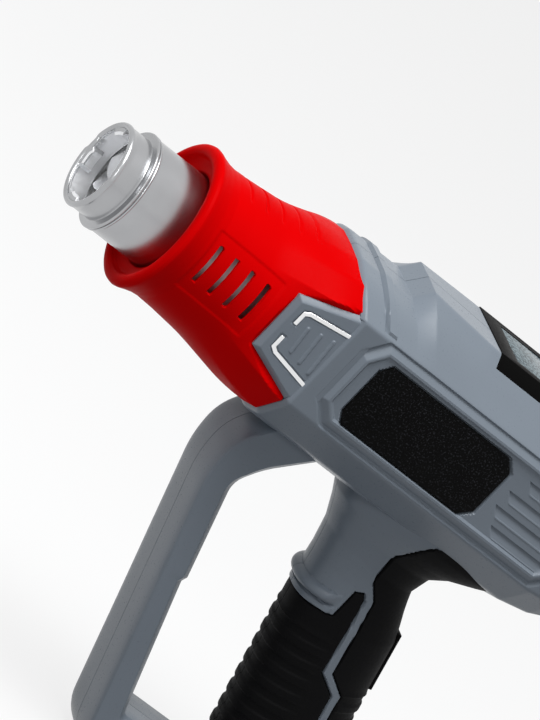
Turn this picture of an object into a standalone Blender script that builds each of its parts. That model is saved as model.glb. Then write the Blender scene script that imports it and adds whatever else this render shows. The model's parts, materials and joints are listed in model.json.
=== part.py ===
"""Hot air tool: an electronic heat gun with a stepped steel nozzle, a heat shroud, a two-part casing
with a closed hand guard, rubber grips, a fan and heater inside, and a display and buttons on top.

Metres, +Z up. The nozzle points to -X, the left side faces -Y, and the tool stands on its base at Z = 0.
Distances called x run back from the nozzle mouth, and heights called z run up from the nozzle's axis.
"""

import math

import bmesh
import bpy
import numpy as np
from mathutils import Matrix, Vector

# Overall sizes
LENGTH = 0.2550  # nozzle mouth to the back of the rear cap
AXIS_HEIGHT = 0.1730  # nozzle axis above the base
CAP_LENGTH = 0.0120  # rear cap, behind the casing
GAP = 0.0003  # between neighbouring pieces
WALL = 0.0025  # moulded casing wall
FAR = 0.2000  # reach of cutters that pass right through
SKIN = 0.0001  # keeps a cutter's face off the face that it follows
FLAT_ANGLE = 0.05  # degrees between faces that count as one flat face
TRIM = 0.0020  # surplus below the base, which is cut level at the end

# Steel nozzle
TIP_RADIUS = 0.0170
TIP_LENGTH = 0.0168
TIP_RIM = 0.0009  # radius of the rolled lip
TUBE_RADIUS = 0.0193
TUBE_END = 0.0990
SHEET = 0.0005
LUG_COUNT = 4
LUG_LENGTH = 0.0070
LUG_WIDTH = 0.0085
LUG_DEPTH = 0.0024
DIFFUSER_X = 0.0118
DIFFUSER_LENGTH = 0.0040
DIFFUSER_VANES = 8
DIFFUSER_HUB = 0.0030

# Heater
MICA_START = 0.0220
MICA_WALL = 0.0006
HEATER_END = 0.0960
CORE_HUB_RADIUS = 0.0040
CORE_FINS = 6
CORE_FIN_THICKNESS = 0.0012
CORE_END_LENGTH = 0.0050
WIRE_RADIUS = 0.0006
COIL_TURNS = 9
COIL_POINTS = 12
SENSOR_RADIUS = 0.0012
SENSOR_LENGTH = 0.0180

# Heat shroud
SHROUD_START = 0.0265
SHROUD_END = 0.0967
SHROUD_MOUTH_RADIUS = 0.0246
SHROUD_LIP_RADIUS = 0.0294
SHROUD_WAIST_RADIUS = 0.0274
SHROUD_WAIST_X = 0.0420
SHROUD_ROUND_END = 0.0620
SHROUD_REAR_RADIUS = 0.0330
SHROUD_STEP = 0.0010  # its rear edge lies this far inside the casing's outline
SHROUD_STATIONS = (0.0420, 0.0620, 0.0700, 0.0770, 0.0840, 0.0905, SHROUD_END)
SHROUD_WALL = 0.0018
SHROUD_SOCKET = 0.0060  # how far it reaches into the casing
SLOT_X = (0.0445, 0.0517, 0.0590, 0.0662)
SLOT_WIDTH = 0.0021
SLOT_LENGTH = 0.0156
SLOT_Z = 0.0026

# Casing body
BODY_START = 0.0970
HOOP_START = 0.1072
HOOP_END = 0.1112
HOOP_RISE = 0.0010
HOOP_FOOT = 0.0244  # height at which the hoop ends on the body's slopes
RAMP_START = 0.1230
RAMP_END = 0.1320
BODY_END = LENGTH - CAP_LENGTH
TAPER_START = BODY_END - 0.0240
BODY_SIDE = 0.0365
FRONT_TOP = 0.0325
REAR_TOP = 0.0400
SHOULDER_Z = 0.0230
CHINE_Z = -0.0170
BODY_BOTTOM = -0.0335
KEEL_RISE = 0.0040
KEEL_HALF = 0.0120
CORNER_RADIUS = 0.0025
SIDE_TAPER = 0.0025
REAR_DROP_X = TAPER_START + 0.0120
EDGE_END = BODY_START + 0.0030  # behind the slight fall of the front edge
BODY_MARKS = (BODY_START, EDGE_END, RAMP_START, RAMP_END, TAPER_START, REAR_DROP_X, BODY_END, LENGTH)

# Side panels
PAD_START = 0.0750
PAD_FACE_DROP = 0.0035  # how much nearer the axis the pad's front edge lies
PAD_FRONT_HALF = 0.0120
PAD_REAR_HALF = 0.0190
PAD_Z = 0.0030
FRAME_RISE = 0.0010
FRAME_WIDTH = 0.0028
FRAME_START = 0.1065
FRAME_END = BODY_END - 0.0125
FRAME_HIGH = 0.0213
FRAME_LOW = -0.0142
FRAME_NOSE_HIGH = 0.0080
FRAME_NOSE_LOW = 0.0008
LOUVRE_START = FRAME_END - 0.0455
LABEL_START = 0.1150
LABEL_END = LOUVRE_START - 0.0055
LABEL_LOW = -0.0110
LABEL_HIGH = 0.0165
LABEL_CORNER = 0.0045
LABEL_THICKNESS = 0.0010
INLAY_WIDTH = 0.0016
INLAY_THICKNESS = 0.0009
LOUVRE_Z = (0.0145, 0.0075, 0.0005, -0.0065)
LOUVRE_HEIGHT = 0.0045
LOUVRE_RISE = 0.0016
LOUVRE_SLOT = 0.0014

# Handle
LEAN = 0.29  # how far the handle's centre goes back for each metre down
GRIP_CENTRE_X = 0.1900  # at GRIP_CENTRE_Z
GRIP_CENTRE_Z = -0.0750
GRIP_HALF_DEPTH = 0.0233
GRIP_HALF_WIDTH = 0.0176
FOOT_HALF_DEPTH = 0.0255
FOOT_HALF_WIDTH = 0.0190
FOOT_MARKS = (0.0280 - AXIS_HEIGHT, 0.0130 - AXIS_HEIGHT, -AXIS_HEIGHT)  # where the foot flares
RUBBER = 0.0022
RIB_PITCH = 0.0085
RIB_HEIGHT = 0.0007
RIBS_START = -0.0800
RUBBER_END = 0.0265 - AXIS_HEIGHT
BEAD_Z = -0.0690
BEAD_HALF = 0.0034
BEAD_RISE = 0.0034
SPINE_WIDTH = 0.0019  # casing line left between the two rubbers

# Height, front x, rear x and half width of the handle's neck, from the body down
HANDLE_TABLE = (
    (-0.0240, 0.1500, BODY_END - 0.0100, 0.0270),
    (-0.0300, 0.1510, 0.2290, 0.0255),
    (-0.0340, 0.1530, 0.2200, 0.0235),
    (-0.0380, 0.1555, 0.2095, 0.0210),
    (-0.0430, 0.1600, 0.2030, 0.0182),
    (-0.0510, 0.1650, 0.2020, 0.0162),
    (-0.0600, 0.1670, 0.2065, 0.0164),
)

# Hand guard
GUARD_HALF_WIDTH = 0.0160
GUARD_CHAMFER = 0.0028
BAR_TOP = 0.0235 - AXIS_HEIGHT

# Fan and motor
DUCT_RADIUS = FRONT_TOP - 0.0006 - WALL - 2 * GAP - SHROUD_WALL - GAP
DUCT_WALL = 0.0016
MOTOR_START = LENGTH - 0.0770
DUCT_END = MOTOR_START + 0.0190
MOTOR_LENGTH = 0.0500
MOTOR_RADIUS = 0.0185
MOTOR_WALL = 0.0018
COMMUTATOR_RADIUS = 0.0050
BRUSH_LENGTH = 0.0034
BRUSH_HALF_WIDTH = 0.0018
SHAFT_RADIUS = 0.0015
ARMATURE_RADIUS = 0.0122
MAGNET_THICKNESS = 0.0036
BUSH_RADIUS = 0.0042
FAN_START = MOTOR_START - 0.0170
FAN_WIDTH = 0.0110
FAN_BLADES = 9
FAN_HUB = 0.0080
FAN_CLEARANCE = 0.0012
HOLDER_RIBS = 4

# Display and buttons
BEZEL_START = 0.1540
BEZEL_END = BODY_END - 0.0110
BEZEL_HALF_WIDTH = 0.0185
BEZEL_SKIRT = 0.0050
BEZEL_WALL = 0.0020
BEZEL_RISE = 0.0003
BUTTON_X = BEZEL_END - 0.0200
WINDOW_START = 0.1630
WINDOW_LENGTH = BUTTON_X - 0.0170 - WINDOW_START
WINDOW_HALF_WIDTH = 0.0140
WINDOW_THICKNESS = 0.0018
DISPLAY_THICKNESS = 0.0039
BOARD_THICKNESS = 0.0016
BOARD_END = BEZEL_END - 0.0060
BUTTON_Y = 0.0085
BUTTON_RADIUS = 0.0045
BUTTON_RISE = 0.0012
BUTTON_TRAVEL = 0.0010

# Power switch on the back of the grip
SWITCH_Z = -0.0840
SWITCH_LENGTH = 0.0240
SWITCH_WIDTH = 0.0150
SWITCH_FLANGE = 0.0016
ROCKER_HALF_LENGTH = 0.0082
ROCKER_HALF_WIDTH = 0.0042
ROCKER_PIVOT = 0.0040

# Power board
POWER_BOARD_DEPTH = 0.0357
POWER_BOARD_HALF_WIDTH = 0.0085
POWER_BOARD_HALF_LENGTH = 0.0120

# Cord inlet at the back of the foot
GLAND_RADIUS = 0.0060
GLAND_BORE = 0.0036
GLAND_Z = 0.0140 - AXIS_HEIGHT

# Fasteners
SCREW_RADIUS = 0.0015
SCREW_HEAD_RADIUS = 0.0030
SCREW_HEAD_LENGTH = 0.0018
SCREW_LENGTH = 0.0200
SCREW_SINK = 0.0055
BOSS_RADIUS = 0.0042

AXIS = Vector((0.0, 0.0, AXIS_HEIGHT))
PAINTS = {
    "casing": ((0.17, 0.20, 0.23), 0.0, 0.45),
    "shroud": ((0.62, 0.003, 0.003), 0.0, 0.40),
    "steel": ((0.62, 0.62, 0.62), 1.0, 0.25),
    "chrome": ((0.80, 0.80, 0.80), 1.0, 0.10),
    "rubber": ((0.006, 0.006, 0.006), 0.0, 0.75),
    "black": ((0.010, 0.010, 0.010), 0.0, 0.40),
    "glass": ((0.36, 0.46, 0.50), 0.0, 0.15),
    "mica": ((0.55, 0.45, 0.30), 0.0, 0.50),
    "ceramic": ((0.75, 0.72, 0.65), 0.0, 0.60),
    "brass": ((0.70, 0.48, 0.18), 1.0, 0.30),
    "copper": ((0.75, 0.33, 0.16), 1.0, 0.35),
    "board": ((0.02, 0.16, 0.07), 0.0, 0.50),
    "white": ((0.80, 0.80, 0.78), 0.0, 0.45),
    "ferrite": ((0.05, 0.05, 0.055), 0.0, 0.60),
}


# Small helpers


def clear_scene():
    """Removes every object that the file came with."""
    for obj in list(bpy.data.objects):
        bpy.data.objects.remove(obj, do_unlink=True)


def place(x, y, z):
    """A world point from the distance behind the mouth, the side distance and the height over the axis."""
    return Vector((x - LENGTH / 2, y, z + AXIS_HEIGHT))


def paint(name):
    """The shared material of one finish."""
    if name in bpy.data.materials:
        return bpy.data.materials[name]
    colour, metallic, roughness = PAINTS[name]
    material = bpy.data.materials.new(name)
    material.use_nodes = True
    shader = material.node_tree.nodes["Principled BSDF"]
    shader.inputs["Base Color"].default_value = (*colour, 1.0)
    shader.inputs["Metallic"].default_value = metallic
    shader.inputs["Roughness"].default_value = roughness
    material.diffuse_color = (*colour, 1.0)
    return material


def add_object(name, bm, finish=None, origin=None):
    """Turns a bmesh into an object of triangles, with its origin on the given world point."""
    bm.normal_update()
    bmesh.ops.triangulate(bm, faces=bm.faces)
    bmesh.ops.recalc_face_normals(bm, faces=bm.faces)
    mesh = bpy.data.meshes.new(name)
    if origin is not None:
        bmesh.ops.translate(bm, verts=bm.verts, vec=-origin)
    bm.to_mesh(mesh)
    bm.free()
    obj = bpy.data.objects.new(name, mesh)
    bpy.context.scene.collection.objects.link(obj)
    if origin is not None:
        obj.location = origin
    if finish:
        mesh.materials.append(paint(finish))
        mesh.shade_smooth()
        mesh.set_sharp_from_angle(angle=math.radians(35))
    return obj


def tool(name, bm):
    """An object that only cuts or guides: it stays out of the model."""
    obj = add_object(name, bm)
    obj.hide_render = True
    obj.display_type = "WIRE"
    return obj


def combine(obj, other, operation):
    """Adds an exact Boolean with another object."""
    modifier = obj.modifiers.new(f"{operation.lower()} {other.name}", "BOOLEAN")
    modifier.operation = operation
    modifier.object = other
    modifier.solver = "EXACT"
    other.hide_render = True
    other.display_type = "WIRE"
    return obj


def settled(obj):
    """A bmesh of the object in world space, with its modifiers applied and its flat faces joined."""
    bpy.context.view_layer.update()
    evaluated = obj.evaluated_get(bpy.context.evaluated_depsgraph_get())
    bm = bmesh.new()
    bm.from_mesh(evaluated.to_mesh())
    bmesh.ops.transform(bm, matrix=obj.matrix_world, verts=bm.verts)
    evaluated.to_mesh_clear()
    bmesh.ops.remove_doubles(bm, verts=bm.verts, dist=1e-6)
    bmesh.ops.dissolve_degenerate(bm, edges=bm.edges, dist=1e-6)
    bmesh.ops.dissolve_limit(
        bm, angle_limit=math.radians(FLAT_ANGLE), verts=bm.verts, edges=bm.edges
    )
    return bm


def loft(bm, rings, cyclic=False):
    """Skins a list of rings of equal length. It caps both ends, or joins the last ring to the first."""
    rows = [[bm.verts.new(point) for point in ring] for ring in rings]
    count = len(rows[0])
    pairs = list(zip(rows, rows[1:]))
    if cyclic:
        pairs.append((rows[-1], rows[0]))
    else:
        bm.faces.new(rows[0])
        bm.faces.new(reversed(rows[-1]))
    for first, second in pairs:
        for i in range(count):
            j = (i + 1) % count
            bm.faces.new((first[i], second[i], second[j], first[j]))
    return bm


def spun(bm, profile, centre, axis, steps):
    """Spins the edges of a profile through a full turn and closes the seam."""
    turn = 2 * math.pi
    bmesh.ops.spin(bm, geom=profile, cent=centre, axis=axis, angle=turn, steps=steps, use_merge=True)
    bmesh.ops.remove_doubles(bm, verts=bm.verts, dist=1e-6)
    bmesh.ops.recalc_face_normals(bm, faces=bm.faces)
    return bm


def turned(profile, steps=40, hollow=True):
    """Spins a profile of (x, radius) points about the nozzle's axis."""
    bm = bmesh.new()
    verts = [bm.verts.new(place(x, 0.0, radius)) for x, radius in profile]
    edges = [bm.edges.new(pair) for pair in zip(verts, verts[1:])]
    if hollow:
        edges.append(bm.edges.new((verts[-1], verts[0])))
    return spun(bm, verts + edges, AXIS, (1.0, 0.0, 0.0), steps)


def ring_profile(start, end, inner, outer):
    """A plain ring's cross-section."""
    return [(start, inner), (start, outer), (end, outer), (end, inner)]


def disc_profile(start, end, outer):
    """A plain disc's cross-section, from the axis out."""
    return [(start, 0.0), (start, outer), (end, outer), (end, 0.0)]


def add_box(bm, low, high):
    """Adds a box between two world corners."""
    low, high = Vector(low), Vector(high)
    size = high - low
    matrix = Matrix.Translation((low + high) / 2) @ Matrix.Diagonal((*size, 1.0))
    bmesh.ops.create_cube(bm, size=1.0, matrix=matrix)
    return bm


def box(low, high):
    """A box between two world corners."""
    return add_box(bmesh.new(), low, high)


def add_rod(bm, start, end, radius, sides=20):
    """Adds a cylinder between two world points."""
    start, end = Vector(start), Vector(end)
    along = end - start
    matrix = (
        Matrix.Translation((start + end) / 2) @ along.to_track_quat("Z", "Y").to_matrix().to_4x4()
    )
    bmesh.ops.create_cone(
        bm,
        cap_ends=True,
        segments=sides,
        radius1=radius,
        radius2=radius,
        depth=along.length,
        matrix=matrix,
    )
    return bm


def rod(start, end, radius, sides=20):
    """A cylinder between two world points."""
    return add_rod(bmesh.new(), start, end, radius, sides)


def offset_corners(points, distance, closed=True):
    """Moves each side of an outline to its right by a distance, and keeps the corners mitred."""
    count = len(points)
    moved = []
    for i, point in enumerate(points):
        here = Vector(point)
        before = Vector(points[i - 1]) if closed or i > 0 else None
        after = Vector(points[(i + 1) % count]) if closed or i < count - 1 else None
        normals = []
        if before is not None:
            step = (here - before).normalized()
            normals.append(Vector((step.y, -step.x)))
        if after is not None:
            step = (after - here).normalized()
            normals.append(Vector((step.y, -step.x)))
        middle = sum(normals, Vector((0.0, 0.0))).normalized()
        moved.append(here + middle * distance / middle.dot(normals[0]))
    return moved


def rounded(points, radii, steps=3):
    """Rounds an outline's corners with arcs. radii is one radius, or one for each corner."""
    count = len(points)
    sizes = radii if isinstance(radii, (list, tuple)) else [radii] * count
    result = []
    for i in range(count):
        here = Vector(points[i])
        if sizes[i] <= 0:
            result.append(here)
            continue
        back = (Vector(points[i - 1]) - here).normalized()
        ahead = (Vector(points[(i + 1) % count]) - here).normalized()
        half = back.angle(ahead) / 2
        reach = sizes[i] / math.tan(half)
        centre = here + (back + ahead).normalized() * sizes[i] / math.sin(half)
        first = here + back * reach - centre
        last = here + ahead * reach - centre
        turn = first.angle(last)
        for k in range(steps + 1):
            left = math.sin(turn * (1 - k / steps))
            done = math.sin(turn * k / steps)
            result.append(centre + (first * left + last * done) / math.sin(turn))
    return result


def grown(points, distance):
    """A closed outline with each side moved outwards by a distance."""
    area = sum(a[0] * b[1] - b[0] * a[1] for a, b in zip(points, points[1:] + points[:1]))
    return offset_corners(points, math.copysign(1.0, area) * distance)


def side_face(x):
    """Distance of the side panel's face from the middle, which draws in over the pad and at the rear."""
    run = BODY_START + 0.008 - PAD_START
    front = PAD_FACE_DROP * min(1.0, max(0.0, (PAD_START + run - x) / run))
    return BODY_SIDE - front - np.interp(x, (TAPER_START, BODY_END), (0.0, SIDE_TAPER))


def side_prism(outline, low, high, side):
    """An outline of (x, z) points on a side panel, from low to high over its face; side is -1 or 1."""
    bm = bmesh.new()
    rings = [
        [place(x, side * (side_face(x) + level), z) for x, z in outline] for level in (low, high)
    ]
    return loft(bm, rings)


def flat_prism(outline, low, high):
    """An outline of (x, z) points, drawn out along Y."""
    return loft(bmesh.new(), [[place(x, y, z) for x, z in outline] for y in (low, high)])


def stadium(centre_x, centre_z, width, length, steps=3):
    """An upright slot's outline with round ends."""
    half = width / 2
    reach = length / 2 - half
    angles = [math.pi * k / steps for k in range(steps + 1)]
    top = [(centre_x + half * math.cos(a), centre_z + reach + half * math.sin(a)) for a in angles]
    low = [(centre_x - half * math.cos(a), centre_z - reach - half * math.sin(a)) for a in angles]
    return top + low


def cut(obj, name, bm):
    """Cuts a shape out of an object."""
    return combine(obj, tool(name, bm), "DIFFERENCE")


def fuse(obj, name, bm):
    """Joins a shape to an object."""
    return combine(obj, tool(name, bm), "UNION")


# Casing body


def body_corners(x):
    """Corners of the body's cross-section at x, as (y, z), from the top left round to the top right."""
    rear = (TAPER_START, BODY_END, LENGTH)
    top_drop = np.interp(x, BODY_MARKS, (0.0006, 0.0, 0.0, 0.0, 0.0, 0.0006, 0.0030, 0.0065))
    top = np.interp(x, (RAMP_START, RAMP_END), (FRONT_TOP, REAR_TOP)) - top_drop
    bottom = BODY_BOTTOM + np.interp(x, BODY_MARKS, (0.0006, 0.0, 0.0, 0.0, 0.0, 0.0025, 0.0090, 0.0130))
    flat = np.interp(x, (RAMP_START, RAMP_END, TAPER_START, LENGTH), (0.0220, 0.0185, 0.0185, 0.0160))
    side = BODY_SIDE - np.interp(x, rear, (0.0, SIDE_TAPER, 0.0060))
    shoulder = SHOULDER_Z - np.interp(x, rear, (0.0, 0.0020, 0.0040))
    chine = CHINE_Z + (bottom - BODY_BOTTOM) * 0.45
    keel = bottom + KEEL_RISE
    half = [(flat, top), (side, shoulder), (side, chine), (side - (chine - keel), keel), (KEEL_HALF, bottom)]
    return [(-y, z) for y, z in half] + [(y, z) for y, z in reversed(half)]


def body_ring(x, grow=0.0, radius=CORNER_RADIUS, steps=2):
    """The body's cross-section at x, grown outwards by a distance, as world points."""
    corners = grown(body_corners(x), grow)
    return [place(x, y, z) for y, z in rounded(corners, radius, steps)]


def body_stations():
    """Distances at which the body's shape changes, up to the rear cap."""
    return BODY_MARKS[:-1]


def body_outer():
    """The body's outer form."""
    return loft(bmesh.new(), [body_ring(x) for x in body_stations()])


def hoop():
    """The raised hoop over the top and slopes of the body's front."""
    rings = [body_ring(HOOP_START - HOOP_RISE, -5 * SKIN), body_ring(HOOP_START, HOOP_RISE)]
    rings += [body_ring(HOOP_END, HOOP_RISE), body_ring(HOOP_END + HOOP_RISE, -5 * SKIN)]
    band = tool("hoop form", loft(bmesh.new(), rings))
    room = box((-FAR, -FAR, AXIS_HEIGHT + HOOP_FOOT), (FAR, FAR, 2 * FAR))
    return combine(band, tool("above the hoop's foot", room), "INTERSECT")


def body_inner():
    """The body's hollow, open at the front and at the back."""
    rings = [body_ring(x, -WALL, steps=1) for x in body_stations()]
    before = [point - Vector((0.001, 0.0, 0.0)) for point in rings[0]]
    behind = [point + Vector((0.005, 0.0, 0.0)) for point in rings[-1]]
    return loft(bmesh.new(), [before] + rings + [behind])


def body_grown(distance):
    """The body's outer form behind its front edge, grown by a distance, to trim the rubber and its seat."""
    return loft(bmesh.new(), [body_ring(x, distance, steps=1) for x in body_stations()[1:]])


def body_bulkhead(start, end):
    """A plate across the body's hollow that carries the air duct."""
    return loft(bmesh.new(), [body_ring(x, -WALL / 2, steps=1) for x in (start, end)])


# Handle


def handle_sizes(z):
    """Centre x, half depth and half width of the handle at height z. The neck follows HANDLE_TABLE."""
    centre = GRIP_CENTRE_X + LEAN * (GRIP_CENTRE_Z - z)
    heights = [row[0] for row in HANDLE_TABLE] + [GRIP_CENTRE_Z, *FOOT_MARKS]
    centres = [(row[1] + row[2]) / 2 for row in HANDLE_TABLE]
    depths = [(row[2] - row[1]) / 2 for row in HANDLE_TABLE]
    widths = [row[3] for row in HANDLE_TABLE]
    depths += [GRIP_HALF_DEPTH, GRIP_HALF_DEPTH, FOOT_HALF_DEPTH - 0.0005, FOOT_HALF_DEPTH]
    widths += [GRIP_HALF_WIDTH, GRIP_HALF_WIDTH, FOOT_HALF_WIDTH - 0.0003, FOOT_HALF_WIDTH]
    down = [-height for height in heights]
    if z > GRIP_CENTRE_Z:
        centre = np.interp(-z, down[: len(centres) + 1], centres + [GRIP_CENTRE_X])
    return centre, np.interp(-z, down, depths), np.interp(-z, down, widths)


def handle_tilt(z):
    """How far the section at z is turned square to the leaning handle, from 0 to 1."""
    start, end = AXIS_HEIGHT - 0.033, AXIS_HEIGHT - 0.011
    return float(np.interp(-z, (0.055, 0.078, start, end), (0.0, 1.0, 1.0, 0.0)))


def handle_ring(z, grow=0.0, ribbed=False, sides=24):
    """The handle's section at z, grown outwards by a distance. ribbed adds the grip's ribs."""
    centre, depth, width = handle_sizes(z)
    tilt = handle_tilt(z)
    depth = (depth + grow) * (1.0 - tilt * (1.0 - 1.0 / (1.0 + LEAN * LEAN)))
    width = width + grow
    if ribbed:
        depth += RIB_HEIGHT
        width += RIB_HEIGHT
    bead = max(0.0, 1.0 - ((z - BEAD_Z) / BEAD_HALF) ** 2) ** 0.5 * BEAD_RISE if grow >= 0 else 0.0
    points = []
    for i in range(sides):
        angle = 2 * math.pi * (i + 0.5) / sides
        c, s = math.cos(angle), math.sin(angle)
        front = min(1.0, max(0.0, (-0.30 - c) / 0.15))
        along = math.copysign(abs(c) ** 0.86, c) * (depth + bead * front)
        across = math.copysign(abs(s) ** 0.86, s) * (width + bead * front)
        points.append(place(centre + along, across, z + tilt * LEAN * along))
    return points


def handle_solid(grow=0.0, top=-0.0240, bottom=-AXIS_HEIGHT, ribs=False, sides=24):
    """The handle's form from top to bottom."""
    marks = [row[0] for row in HANDLE_TABLE]
    marks += [GRIP_CENTRE_Z, *FOOT_MARKS, 0.0200 - AXIS_HEIGHT, 0.0110 - AXIS_HEIGHT]
    if grow >= 0 and not ribs:
        marks += [BEAD_Z + BEAD_HALF * k / 3 for k in range(-3, 4)]
    marks = sorted({z for z in marks if bottom < z < top} | {top, bottom}, reverse=True)
    rings = [handle_ring(z, grow, sides=sides) for z in marks]
    if ribs:
        count = int((RIBS_START - RUBBER_END) / RIB_PITCH)
        rings = [handle_ring(z, grow, sides=sides) for z in marks if z > RIBS_START]
        for k in range(count):
            start = RIBS_START - k * RIB_PITCH
            for part, raised in ((0.0, False), (0.25, True), (0.75, True)):
                rings.append(handle_ring(start - part * RIB_PITCH, grow, raised, sides))
        end = RIBS_START - count * RIB_PITCH
        rings += [handle_ring(end, grow, sides=sides), handle_ring(bottom, grow, sides=sides)]
    return loft(bmesh.new(), rings)


def grip_line(z):
    """Distance x along the handle's lean of a point that lies on its spine line at the kink's height."""
    return LEAN * (-0.0970 - z)


def front_rubber_outline(grow=0.0):
    """The front rubber's outline from the side, with its tongue beside the bead."""
    corners = [
        (0.1400, -0.0735),
        (0.1795, -0.0735),
        (0.1795, -0.0612),
        (0.1832, -0.0592),
        (0.1855, -0.0620),
        (0.1930, -0.0920),
        (0.2025, -0.0970),
        (0.2025 + grip_line(RUBBER_END), RUBBER_END),
        (0.1400, RUBBER_END),
    ]
    return grown(corners, grow)


def rear_rubber_outline(grow=0.0):
    """The rear rubber's outline from the side, which follows the front rubber at the spine's width."""
    corners = [
        (0.2900, -0.0215),
        (0.2900, RUBBER_END),
        (0.2025 + grip_line(RUBBER_END) + SPINE_WIDTH, RUBBER_END),
        (0.2025 + SPINE_WIDTH + 0.0007, -0.0957),
        (0.1930 + SPINE_WIDTH + 0.0007, -0.0905),
        (0.1855 + SPINE_WIDTH + 0.0005, -0.0605),
        (0.1820, -0.0545),
        (0.1795, -0.0415),
        (0.1830, -0.0320),
        (0.1900, -0.0215),
    ]
    return grown(corners, grow)


def build_grips():
    """Rubber grips, in a front and a rear piece on each casing half."""
    ribbed = handle_solid(ribs=True, top=-0.0250, bottom=RUBBER_END - 0.004)
    outer = tool("grip outer form", ribbed)
    inside = handle_solid(-RUBBER + GAP, top=-0.0210, bottom=RUBBER_END - 0.008)
    core = tool("grip inner form", inside)
    body = tool("grip body clearance", body_grown(GAP + SKIN))
    for name, outline in (("front", front_rubber_outline()), ("rear", rear_rubber_outline())):
        for side, half in ((-1, "left"), (1, "right")):
            low, high = sorted((side * GAP / 2, side * 0.05))
            grip = add_object(f"grip_{name}_{half}", flat_prism(outline, low, high), "rubber")
            combine(grip, outer, "INTERSECT")
            combine(grip, core, "DIFFERENCE")
            if name == "rear":
                combine(grip, body, "DIFFERENCE")
                cut(grip, f"grip switch opening {half}", switch_frame_box(GAP, 0.010, -0.010))


# Hand guard


def guard_paths():
    """The guard's outer and inner lines from the side, from the nose down and along the base."""
    outer = [(0.1160, -0.0260), (0.1035, -0.0440), (0.1045, -0.0600), (0.1457, -AXIS_HEIGHT)]
    outer.append((0.2070, -AXIS_HEIGHT))
    inner = [(0.1380, -0.0290), (0.1215, -0.0470), (0.1160, -0.0570)]
    inner += [(0.1295, -0.0950), (0.1287, -0.0972)]
    inner += [(0.1493, BAR_TOP), (0.2070, BAR_TOP)]
    return outer, inner


def guard_solid():
    """The guard's form, with a chamfer along its inner edges."""
    outer, inner = guard_paths()
    outline_outer = rounded(outer, [0, 0.010, 0.010, 0.014, 0], 4)
    outline_outer[-1] = outline_outer[-1] + Vector((0.0, -TRIM / 2))
    outline_outer[-2] = outline_outer[-2] + Vector((0.0, -TRIM / 2))
    outline_inner = rounded(inner, [0, 0.006, 0.008, 0, 0, 0.002, 0], 2)
    drawn_in = offset_corners(outline_inner, GUARD_CHAMFER, closed=False)
    full = outline_outer + outline_inner[::-1]
    edge = outline_outer + drawn_in[::-1]
    inside = GUARD_HALF_WIDTH - GUARD_CHAMFER
    levels = ((-GUARD_HALF_WIDTH, edge), (-inside, full), (inside, full), (GUARD_HALF_WIDTH, edge))
    return loft(bmesh.new(), [[place(x, y, z) for x, z in points] for y, points in levels])


def guard_channel():
    """The hollow inside the guard's two halves."""
    outer, inner = guard_paths()
    outer = offset_corners(outer, -WALL, closed=False)
    inner = offset_corners([inner[k] for k in (0, 1, 2, 5, 6)], WALL + 0.0008, closed=False)
    inside = GUARD_HALF_WIDTH - WALL
    return flat_prism(outer + inner[::-1], -inside, inside)


# Screws


def screw_sites():
    """(x, z, half width of the casing there) of each casing screw."""
    return (
        (0.1400, 0.0310, 0.0240),
        (TAPER_START + 0.0110, 0.0265, 0.0240),
        (0.1720, -0.0440, 0.0160),
        (0.1125, -0.0460, GUARD_HALF_WIDTH),
        (0.1530, 0.0120 - AXIS_HEIGHT, GUARD_HALF_WIDTH),
        (0.2260, 0.0110 - AXIS_HEIGHT, 0.0150),
    )


def boss_shapes(radius):
    """Rods through the casing at the screws."""
    bm = bmesh.new()
    for x, z, half in screw_sites():
        add_rod(bm, place(x, -half, z), place(x, half, z), radius, 12)
    return bm


def build_screws():
    """Pan-head screws, put in from the right side."""
    for number, (x, z, half) in enumerate(screw_sites(), 1):
        head = half - SCREW_SINK
        under = head - SCREW_HEAD_LENGTH
        end = head - SCREW_LENGTH
        profile = [
            (head, 0.0),
            (head, SCREW_HEAD_RADIUS),
            (under, SCREW_HEAD_RADIUS),
            (under, SCREW_RADIUS),
            (end, SCREW_RADIUS),
            (end, 0.0),
        ]
        add_object(f"casing_screw_{number}", turned_across(x, z, profile), "steel")


def turned_across(x, z, profile, steps=10):
    """Spins a profile of (y, radius) points about a line along Y."""
    bm = bmesh.new()
    verts = [bm.verts.new(place(x, y, z + radius)) for y, radius in profile]
    edges = [bm.edges.new(pair) for pair in zip(verts, verts[1:])]
    return spun(bm, verts + edges, place(x, 0.0, z), (0.0, 1.0, 0.0), steps)


# Casing


def pad_outline(grow=0.0):
    """The side pad's outline, which widens towards the body."""
    end = BODY_START + 0.0060
    corners = [
        (PAD_START, PAD_Z - PAD_FRONT_HALF),
        (PAD_START, PAD_Z + PAD_FRONT_HALF),
        (BODY_START, PAD_Z + PAD_REAR_HALF),
        (end, PAD_Z + PAD_REAR_HALF),
        (end, PAD_Z - PAD_REAR_HALF),
        (BODY_START, PAD_Z - PAD_REAR_HALF),
    ]
    return grown(corners, grow)


def frame_outline(inset=0.0):
    """The raised frame's outline round the side panel."""
    corners = [
        (FRAME_START, FRAME_LOW + 0.0067),
        (FRAME_START, FRAME_HIGH - 0.0082),
        (FRAME_START + 0.0057, FRAME_HIGH),
        (FRAME_END - 0.0140, FRAME_HIGH),
        (FRAME_END, FRAME_NOSE_HIGH),
        (FRAME_END, FRAME_NOSE_LOW),
        (FRAME_END - 0.0150, FRAME_LOW),
        (FRAME_START + 0.0070, FRAME_LOW),
    ]
    return grown(corners, -inset)


def label_outline(grow=0.0):
    """The side plate's outline, with cut corners."""
    low, high, c = LABEL_LOW - grow, LABEL_HIGH + grow, LABEL_CORNER
    start, end = LABEL_START - grow, LABEL_END + grow
    return [
        (start, low + c),
        (start, high - c),
        (start + c * 0.7, high),
        (end - c, high),
        (end, high - c),
        (end, low + c),
        (end - c, low),
        (start + c * 0.7, low),
    ]


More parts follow.
